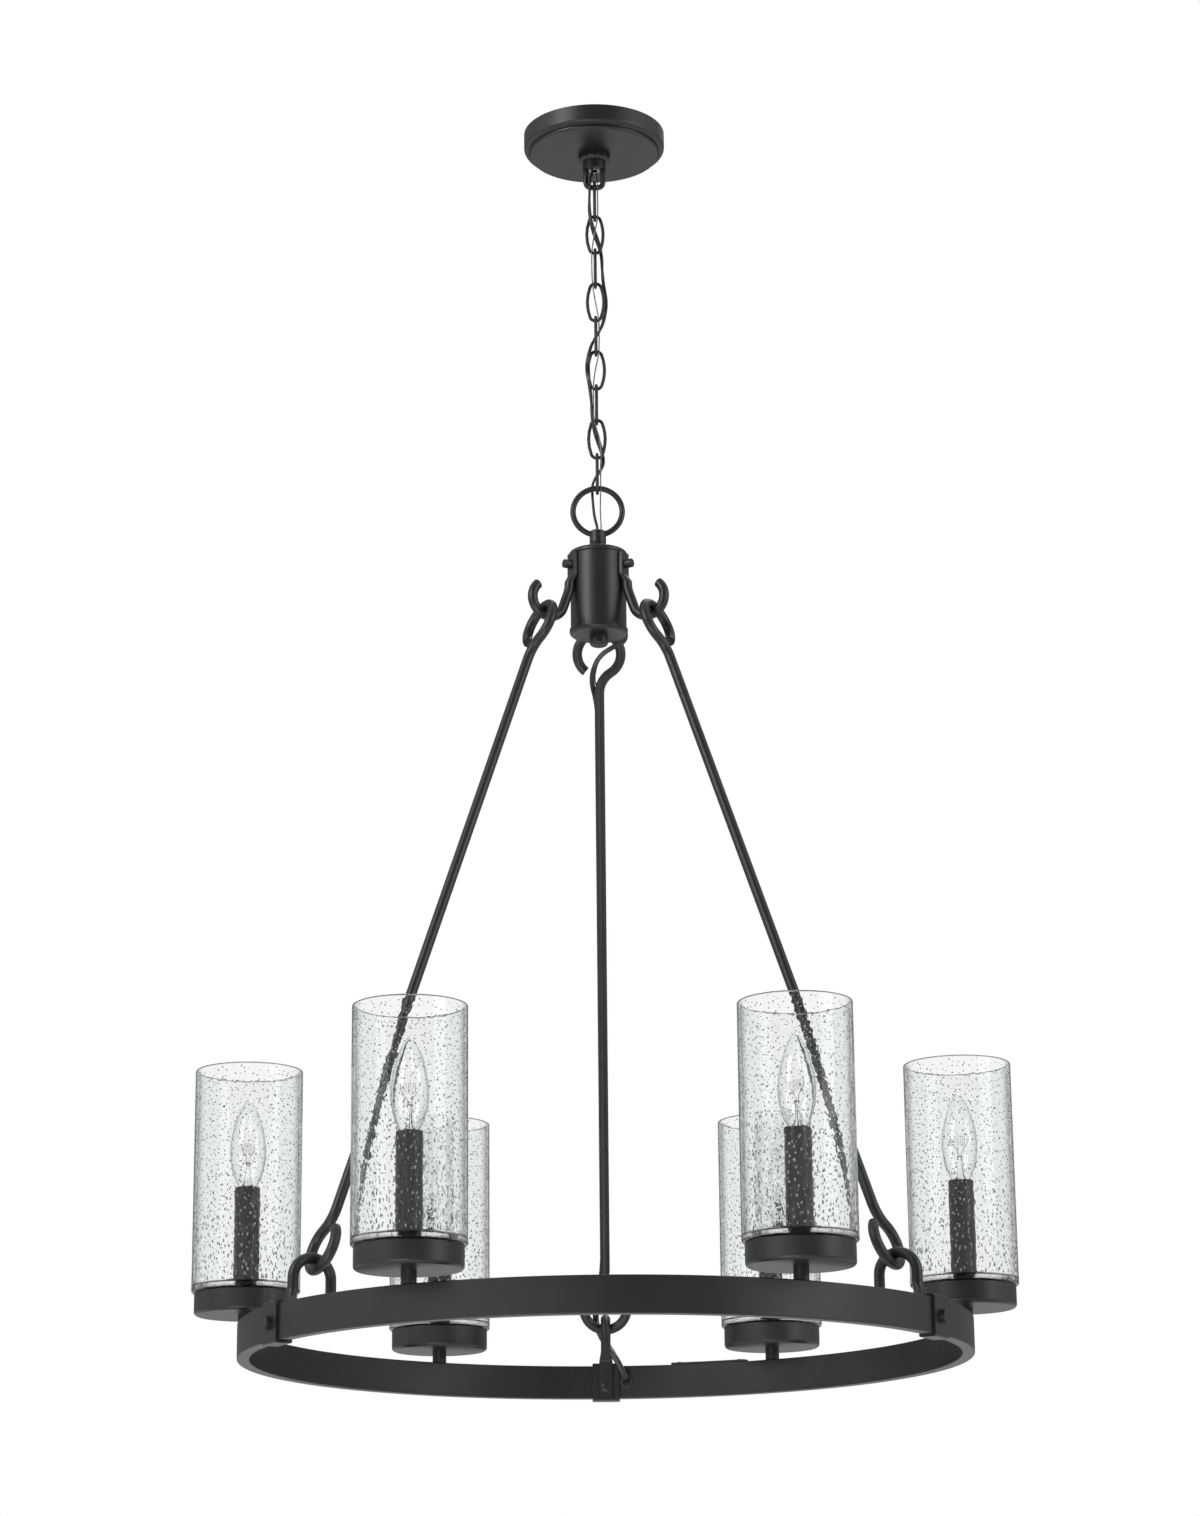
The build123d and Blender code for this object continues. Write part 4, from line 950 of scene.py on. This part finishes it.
class CHANDELIER_OT_ring(bpy.types.Operator):
    """Makes the ring with its straps, hooks, rivets, screws, cover and grommet"""

    bl_idname = "chandelier.ring"
    bl_label = "Ring"

    def execute(self, context):
        make_materials(context.scene)
        wire = context.scene.chandelier_ironwork.rod_wire / MM / 2
        low, high = RING_LOW, RING_LOW + 30.0
        inner, outer = 302.7, 313.3
        tube = turned(
            "ring_rolled_tube",
            [(inner, low, 0.9), (outer, low, 0.9), (outer, high, 0.9), (inner, high, 0.9), (inner, low)],
            sides=240,
            arc=4,
        )
        coated(tube, "ring", "ring_tube")
        dress("ring_harness", "pvc")

        gap, strap = 0.1, 2.2
        half = degrees(12.5 / RING_RADIUS)
        section = (inner - gap - strap, outer + gap + strap, low - gap - strap, high + gap + strap)
        band = ring_band("ring_strap_rear", 90.0 - half, 2 * half, section, inner=strap, corner=1.4)
        tab_outer = inner - gap - strap - gap
        tab_inner = tab_outer - 3.0
        rear = radial(90.0)
        facing = Vector((rear.y, -rear.x, 0))
        arch, free_leg = 17.2, 15.5
        arch_mid = RING_RADIUS - 30.54
        arch_height = low + 69.94 - arch
        taper_high, taper_low, tab_foot = low + 44.0, low + 33.0, low + 2.0
        bar = bent_bar(
            "ring_hook_bar",
            rear * (arch_mid - arch) + UP * (arch_height - free_leg),
            UP,
            facing,
            [free_leg - 0.4, (arch, -180), arch_height - taper_high],
            wire,
            chamfer=(0.4, 0),
            finish=False,
        )
        tab_middle = rear * (tab_inner + tab_outer) / 2 + UP * taper_low
        tab = flat_tab("ring_hook_tab", tab_middle, sideways(90.0), (12.5, 3.0), UP * (tab_foot - taper_low))
        bar_end = rear * (arch_mid + arch) + UP * taper_high
        hook = weld_tab("ring_iron_hook_rear", bar, tab, tab_middle, bar_end)
        rivet = turned(
            "ring_rivet",
            [(4.95, 0.0), (4.75, 0.7), (4.0, 1.25), (2.6, 1.55), (0.9, 1.65)],
            origin=rear * tab_inner + UP * (low + 9.5),
            axis=-rear,
            sides=32,
        )
        screw = turned(
            "ring_strap_screw",
            [(5.7, 0.0), (5.7, 4.8, 0.6), (0.9, 4.8)],
            origin=rear * (outer + gap + strap) + UP * (low + 15.0),
            axis=rear,
            sides=32,
        )
        hooks = on_each_rod(hook, "ring_iron_hook")
        bands = on_each_rod(band, "ring_strap").values()
        rivets = on_each_rod(rivet, "ring_rivet").values()
        screws = list(on_each_rod(screw, "ring_strap_screw").values())
        cover_start, cover_end = 65.0, 78.4
        for angle in (cover_start + 1.3, cover_end - 1.3):
            screws.append(
                turned(
                    f"cover_screw_{round(angle)}",
                    [(2.2, 0.0), (2.1, 0.4), (1.6, 0.7), (0.5, 0.8)],
                    origin=radial(angle) * RING_RADIUS + UP * (high + 2.0),
                    sides=24,
                )
            )
        for side, piece in hooks.items():
            coated(piece, "ring", f"ring_hook_{side}")
        coated(joined("ring_strap_set", bands), "ring", "ring_straps")
        coated(joined("ring_rivet_set", rivets), "ring", "hook_rivets")
        coated(joined("ring_screw_set", screws), "ring", "ring_screws")
        cover = ring_band(
            "ring_access_cover",
            cover_start,
            cover_end - cover_start,
            (inner + 0.2, outer - 0.2, high, high + 2.0),
            corner=0.5,
            steps=10,
        )
        coated(cover, "ring", "access_cover")
        grommet = turned(
            "ring_cord_grommet",
            [(3.5, 0.0), (5.65, 0.0), (5.65, 1.5, 0.6), (3.5, 1.5, 0.5), (3.5, 0.0)],
            origin=radial(86.4) * inner + UP * (low + 15.0),
            axis=-radial(86.4),
            sides=40,
        )
        place(grommet, "ring", "rubber", "rubber_black", "cord_grommet")
        return {"FINISHED"}


# Turn in degrees of a lamp's copy about its own axis, per degree round the ring and beyond that
COPY_TURN = 2.2
COPY_LEAD = 13.0


def six_copies(obj, names):
    """The first lamp's piece and its five copies round the ring, each turned so that no two look alike."""
    pieces = [obj]
    first = lamp_spot(LAMP_ANGLES[0])
    for name, angle in list(zip(names, LAMP_ANGLES))[1:]:
        spot = lamp_spot(angle)
        pieces.append(copy_of(obj, name, shift=spot - first, turn=angle * COPY_TURN + COPY_LEAD, pivot=spot))
    return pieces


def above_ring(rings):
    """Rings whose heights are given above the ring's underside."""
    return [(ring[0], ring[1] + RING_LOW) + tuple(ring[2:]) for ring in rings]


class CHANDELIER_OT_lamps(bpy.types.Operator):
    """Makes the stems, cups, candle sleeves and glass retainers"""

    bl_idname = "chandelier.lamps"
    bl_label = "Lamps"

    def execute(self, context):
        make_materials(context.scene)
        first = lamp_spot(0.0)
        stem = [(2.5, 30.0), (6.35, 30.0), (6.35, 41.0), (2.5, 41.0)]
        cup_outside = [(4.5, 41.0), (44.0, 41.0, 3.0), (44.0, 60.0, 0.5)]
        cup_inside = [(42.4, 60.0, 0.5), (42.4, 43.0, 1.4), (4.5, 43.0)]
        sleeve = [(9.8, 69.0), (11.0, 69.0), (11.0, 151.0, 0.35), (9.8, 151.0, 0.35), (9.8, 69.0)]
        retainer = [(9.4, 65.0), (17.0, 65.0), (17.0, 69.0, 1.2), (9.4, 69.0), (9.4, 65.0)]
        shapes = {
            "stem": (stem, "lamp_stems", 48),
            "cup": (cup_outside + cup_inside, "lamp_cups", 96),
            "sleeve": (sleeve, "candle_sleeves", 64),
            "retainer": (retainer, "shade_retainers", 64),
        }
        for label, (rings, node, sides) in shapes.items():
            piece = turned(f"lamp_{label}_1", above_ring(rings), origin=first, sides=sides)
            names = [f"lamp_{label}_{n}" for n in range(1, 7)]
            group = joined(f"lamp_{label}_set", six_copies(piece, names))
            coated(group, "ring", node)
        dress("lampholders", "rubber")
        return {"FINISHED"}


SHADE_FINISHES = ("glass", "seed", "edge")


class CHANDELIER_OT_shades(bpy.types.Operator):
    """Makes the six seeded glass cylinders"""

    bl_idname = "chandelier.shades"
    bl_label = "Glass shades"

    def execute(self, context):
        make_materials(context.scene)
        glass = context.scene.chandelier_glass
        wall = glass.wall / MM
        first = lamp_spot(0.0)
        outside, bore = 46.5, 9.4
        inside = outside - wall
        foot, floor, rim = 60.0, 65.0, 253.0
        rings = [(bore, foot), (outside, foot, 2.0), (outside, rim, 1.1), (inside, rim, 1.1)]
        rings += [(inside, floor, 2.0), (bore, floor), (bore, foot)]
        shade = turned("seeded_shade_1", above_ring(rings), origin=first, sides=128)
        # The faces of the rim and the floor take the green-grey glass with painted shade
        for face in shade.data.polygons:
            height = face.center.z / MM - RING_LOW
            if height > rim - 1.2 or height < floor + 0.1:
                face.material_index = SHADE_FINISHES.index("edge")
        bubbles = self.seeds("shade_seeds", first, (outside + inside) / 2, glass)
        for piece in (shade, bubbles):
            for finish in SHADE_FINISHES:
                piece.data.materials.append(MATERIALS[finish])
        shade = joined("seeded_shade_1", [shade, bubbles])
        finishes = [face.material_index for face in shade.data.polygons]
        names = [f"seeded_shade_{n}" for n in range(1, 7)]
        for number, piece in enumerate(six_copies(shade, names), 1):
            place(piece, "ring", "glass", "seeded_glass", f"glass_shade_{number}")
            for finish in SHADE_FINISHES[1:]:
                piece.data.materials.append(MATERIALS[finish])
            piece.data.polygons.foreach_set("material_index", finishes)
        return {"FINISHED"}

    def seeds(self, name, axis_spot, middle, glass):
        """Air bubbles in the wall, copied from one: round above, drawn out along the axis lower down."""
        model = bmesh.new()
        bmesh.ops.create_uvsphere(model, u_segments=6, v_segments=4, radius=1.0)
        bmesh.ops.reverse_faces(model, faces=model.faces)
        points = [v.co.copy() for v in model.verts]
        sides = [[v.index for v in face.verts] for face in model.faces]
        model.free()
        draw = random.Random(7)
        spots, faces = [], []
        low, high = 67.0, 250.5
        rows = round(sqrt(glass.seeds * (high - low) / (2 * pi * middle)))
        columns = glass.seeds // rows
        for place_in_grid in range(rows * columns):
            row, column = divmod(place_in_grid, columns)
            height = low + (row + draw.uniform(0.05, 0.95)) * (high - low) / rows
            angle = (column + draw.uniform(0.05, 0.95)) * 360 / columns
            radius = glass.seed_radius * draw.uniform(0.5, 1.3)
            long = 1.0 + max(0.0, (190.0 - height) / 125.0) * draw.uniform(0.6, 2.0)
            reach = middle + draw.uniform(-0.25, 0.25)
            centre = (axis_spot + radial(angle) * reach + UP * (RING_LOW + height)) * MM
            first = len(spots)
            spots += [centre + Vector((p.x, p.y, p.z * long)) * radius for p in points]
            faces += [[first + i for i in side] for side in sides]
        mesh = bpy.data.meshes.new(name)
        mesh.from_pydata(spots, [], faces)
        mesh.polygons.foreach_set("use_smooth", [True] * len(faces))
        mesh.polygons.foreach_set("material_index", [SHADE_FINISHES.index("seed")] * len(faces))
        obj = bpy.data.objects.new(name, mesh)
        bpy.context.scene.collection.objects.link(obj)
        return obj


class CHANDELIER_OT_bulbs(bpy.types.Operator):
    """Makes the six candle bulbs: envelope, base, glass mount and filament"""

    bl_idname = "chandelier.bulbs"
    bl_label = "Bulbs"

    def execute(self, context):
        make_materials(context.scene)
        first = lamp_spot(0.0)
        foot = 149.35
        outline = [(6.6, 0), (8.3, 3), (9.9, 6.2), (11.5, 10), (12.7, 13.6), (13.9, 18), (14.8, 22.4)]
        outline += [(15.4, 27), (15.6, 31.4), (15.5, 36), (14.95, 42), (14.0, 48), (12.8, 53), (11.4, 58.2)]
        outline += [(9.9, 62.8), (8.3, 66.8), (6.6, 70.4), (4.9, 73.6), (3.3, 76), (1.8, 77.7), (0.5, 78.5)]
        wall = 0.7
        skin = [(r, foot + h) for r, h in outline]
        skin += [(max(r - wall, 0.3), foot + h - (wall if r < 3 else 0)) for r, h in reversed(outline)]
        skin.append(skin[0])
        envelope = turned("bulb_envelope_1", above_ring(skin), origin=first, sides=64)
        stem = [(5.6, 0), (5.2, 3), (3.4, 6), (2.5, 12), (2.2, 20), (2.6, 23), (1.0, 24)]
        plug = [(3.0, -23.0), (6.0, -20.0), (6.0, -0.1), (3.0, -0.05)]
        mount, base = (
            turned(name, above_ring([(r, foot + h) for r, h in rings]), origin=first, sides=sides)
            for name, rings, sides in (("bulb_mount_1", stem, 32), ("bulb_base_1", plug, 40))
        )
        leads = []
        for side in (-1, 1):
            start = first + Vector((side * 1.4, 0, RING_LOW + foot + 20.0))
            leads.append(
                bent_bar(
                    f"bulb_lead_{side}",
                    start,
                    UP,
                    (0, side, 0),
                    [4.0, (9.0, 38.0), 4.5, (7.0, -38.0), 3.0],
                    0.28,
                    sides=8,
                )
            )
        coil = self.filament(first, RING_LOW + foot)
        sets = (
            ("envelope", envelope, "bulb"),
            ("mount", mount, "bulb"),
            ("base", base, "brass"),
            ("leads", joined("bulb_leads_1", leads), "copper"),
            ("filament", coil, "filament"),
        )
        for label, piece, finish in sets:
            names = [f"bulb_{label}_{n}" for n in range(1, 7)]
            for number, copy in enumerate(six_copies(piece, names), 1):
                place(copy, f"bulb_{number}", finish, "bulb_glass", f"bulb_{number}")
        return {"FINISHED"}

    def filament(self, first, foot):
        """A thin wire that runs up and down between the leads."""
        moves = []
        for turn in (1, -1, 1, -1, 1):
            moves += [6.5, (0.9, 180 * turn)]
        moves.append(6.5)
        start = first + Vector((-4.5, 0, foot + 33.0))
        return bent_bar("bulb_filament_1", start, UP, (0, 1, 0), moves, 0.16, sides=8)


# The stage, in metres
FLOOR_SIZE = 14.0
FLOOR_HEIGHT = -2.1
CAMERA_SPOT = (0, -3.1275, -1.5034)


class CHANDELIER_OT_stage(bpy.types.Operator):
    """Adds the floor, the lights, the world and the camera"""

    bl_idname = "chandelier.stage"
    bl_label = "Stage"

    def execute(self, context):
        scene = context.scene
        stage = scene.chandelier_stage
        clear_choice()
        bpy.ops.mesh.primitive_plane_add(size=FLOOR_SIZE, location=(0, 0, FLOOR_HEIGHT))
        floor = bpy.context.object
        floor.name = "studio_floor"
        bpy.ops.object.mode_set(mode="EDIT")
        bpy.ops.mesh.subdivide(number_cuts=3)
        bpy.ops.object.mode_set(mode="OBJECT")
        floor.data.materials.append(self.floor_paint())
        self.lights()
        self.world(scene)
        camera = bpy.data.cameras.new("studio_camera")
        camera.lens = stage.lens
        camera.sensor_width = 36.0
        camera.clip_end = 100.0
        holder = bpy.data.objects.new("studio_camera", camera)
        scene.collection.objects.link(holder)
        holder.location = CAMERA_SPOT
        turn = Quaternion((1, 0, 0), stage.tilt) @ Quaternion((0, 0, 1), stage.roll)
        holder.rotation_euler = turn.to_euler()
        scene.camera = holder
        scene.view_settings.view_transform = "Standard"
        return {"FINISHED"}

    def floor_paint(self):
        """Pale matt floor paint, seen as plain white in shiny metal and glass."""
        material, tree, output, spot = new_material("pale_floor_paint")
        mottle = add_node(tree, "ShaderNodeTexNoise", Vector=(spot, "Object"), Scale=3.0, Detail=2.0)
        tone = add_node(tree, "ShaderNodeValToRGB", Fac=(mottle, "Fac"))
        set_ramp(tone, stops((0.3, "#e9e9e8"), (0.7, "#f1f1f0")))
        paint = add_node(tree, "ShaderNodeBsdfPrincipled", Base_Color=(tone, "Color"), Roughness=0.7)
        white = add_node(tree, "ShaderNodeEmission", Color=linear("#ffffff"), Strength=0.9)
        path = add_node(tree, "ShaderNodeLightPath")
        shiny = (path, "Is Glossy Ray")
        floor = add_node(tree, "ShaderNodeMixShader", i0=shiny, i1=(paint, 0), i2=(white, 0))
        tree.links.new(floor.outputs[0], output.inputs["Surface"])
        return material

    def lights(self):
        """Soft boxes: a key at the upper left, a fill at the right, one high behind and one low in front."""
        boxes = (
            ("key_box", (-2.6, -2.2, 0.9), (0, 0, -0.7), 1.6, 60.0),
            ("fill_box", (2.8, -1.6, 0.2), (0, 0, -0.8), 1.6, 30.0),
            ("rear_box", (0.8, 2.6, 2.4), (0, 0, -0.7), 1.8, 25.0),
            ("low_box", (-0.6, -1.6, -1.7), (0, 0, -0.4), 0.7, 9.0),
        )
        for name, spot, target, size, power in boxes:
            light = bpy.data.lights.new(name, "AREA")
            light.shape = "SQUARE"
            light.size = size
            light.energy = power
            holder = bpy.data.objects.new(name, light)
            bpy.context.scene.collection.objects.link(holder)
            holder.location = spot
            holder.rotation_euler = (Vector(target) - Vector(spot)).to_track_quat("-Z", "Y").to_euler()

    def world(self, scene):
        """White behind the object, in metal and in glass; softer light on the surfaces."""
        world = bpy.data.worlds.new("studio_world")
        world.use_nodes = True
        tree = world.node_tree
        tree.nodes.clear()
        path = add_node(tree, "ShaderNodeLightPath")
        seen = add_node(
            tree,
            "ShaderNodeMath",
            {"operation": "MAXIMUM"},
            i0=(path, "Is Camera Ray"),
            i1=(path, "Is Transmission Ray"),
        )
        spot = add_node(tree, "ShaderNodeTexCoord")
        part = add_node(tree, "ShaderNodeSeparateXYZ", Vector=(spot, "Generated"))
        depth = add_node(tree, "ShaderNodeMapRange", Value=(part, "Y"), From_Min=-1.0, From_Max=1.0)
        sides = add_node(tree, "ShaderNodeValToRGB", Fac=(depth, "Result"))
        levels = ((0.12, 0.18), (0.35, 0.7), (0.52, 1.0), (0.7, 0.5), (0.9, 0.3))
        set_ramp(sides, [(position, (level, level, level, 1.0)) for position, level in levels])
        shine = add_node(tree, "ShaderNodeMix", i0=(path, "Is Glossy Ray"), i2=0.4, i3=(sides, "Color"))
        strength = add_node(tree, "ShaderNodeMath", {"operation": "MAXIMUM"}, i0=(seen, 0), i1=(shine, 0))
        back = add_node(tree, "ShaderNodeBackground", Color=linear("#ffffff"), Strength=(strength, 0))
        output = add_node(tree, "ShaderNodeOutputWorld")
        tree.links.new(back.outputs["Background"], output.inputs["Surface"])
        scene.world = world


class CHANDELIER_PT_sidebar(bpy.types.Panel):
    """Lists the pieces"""

    bl_label = "Chandelier"
    bl_idname = "CHANDELIER_PT_sidebar"
    bl_space_type = "VIEW_3D"
    bl_region_type = "UI"
    bl_category = "Chandelier"

    def draw(self, context):
        for operator in PIECES:
            self.layout.operator(operator.bl_idname)
        for group in GROUPS:
            settings = getattr(context.scene, GROUPS[group])
            for name in group.__annotations__:
                self.layout.prop(settings, name)


PIECES = (
    CHANDELIER_OT_stage,
    CHANDELIER_OT_cords,
    CHANDELIER_OT_ceiling_plate,
    CHANDELIER_OT_chain,
    CHANDELIER_OT_hub,
    CHANDELIER_OT_rods,
    CHANDELIER_OT_ring,
    CHANDELIER_OT_lamps,
    CHANDELIER_OT_shades,
    CHANDELIER_OT_bulbs,
)
GROUPS = {
    CHANDELIER_PG_ironwork: "chandelier_ironwork",
    CHANDELIER_PG_cords: "chandelier_cords",
    CHANDELIER_PG_glass: "chandelier_glass",
    CHANDELIER_PG_stage: "chandelier_stage",
}


def register():
    for group, name in GROUPS.items():
        bpy.utils.register_class(group)
        setattr(bpy.types.Scene, name, bpy.props.PointerProperty(type=group))
    for piece in PIECES:
        bpy.utils.register_class(piece)
    bpy.utils.register_class(CHANDELIER_PT_sidebar)


def unregister():
    bpy.utils.unregister_class(CHANDELIER_PT_sidebar)
    for piece in reversed(PIECES):
        bpy.utils.unregister_class(piece)
    for group, name in GROUPS.items():
        delattr(bpy.types.Scene, name)
        bpy.utils.unregister_class(group)


def main():
    register()
    for piece in PIECES:
        getattr(bpy.ops.chandelier, piece.bl_idname.split(".")[1])()


if __name__ == "__main__":
    main()
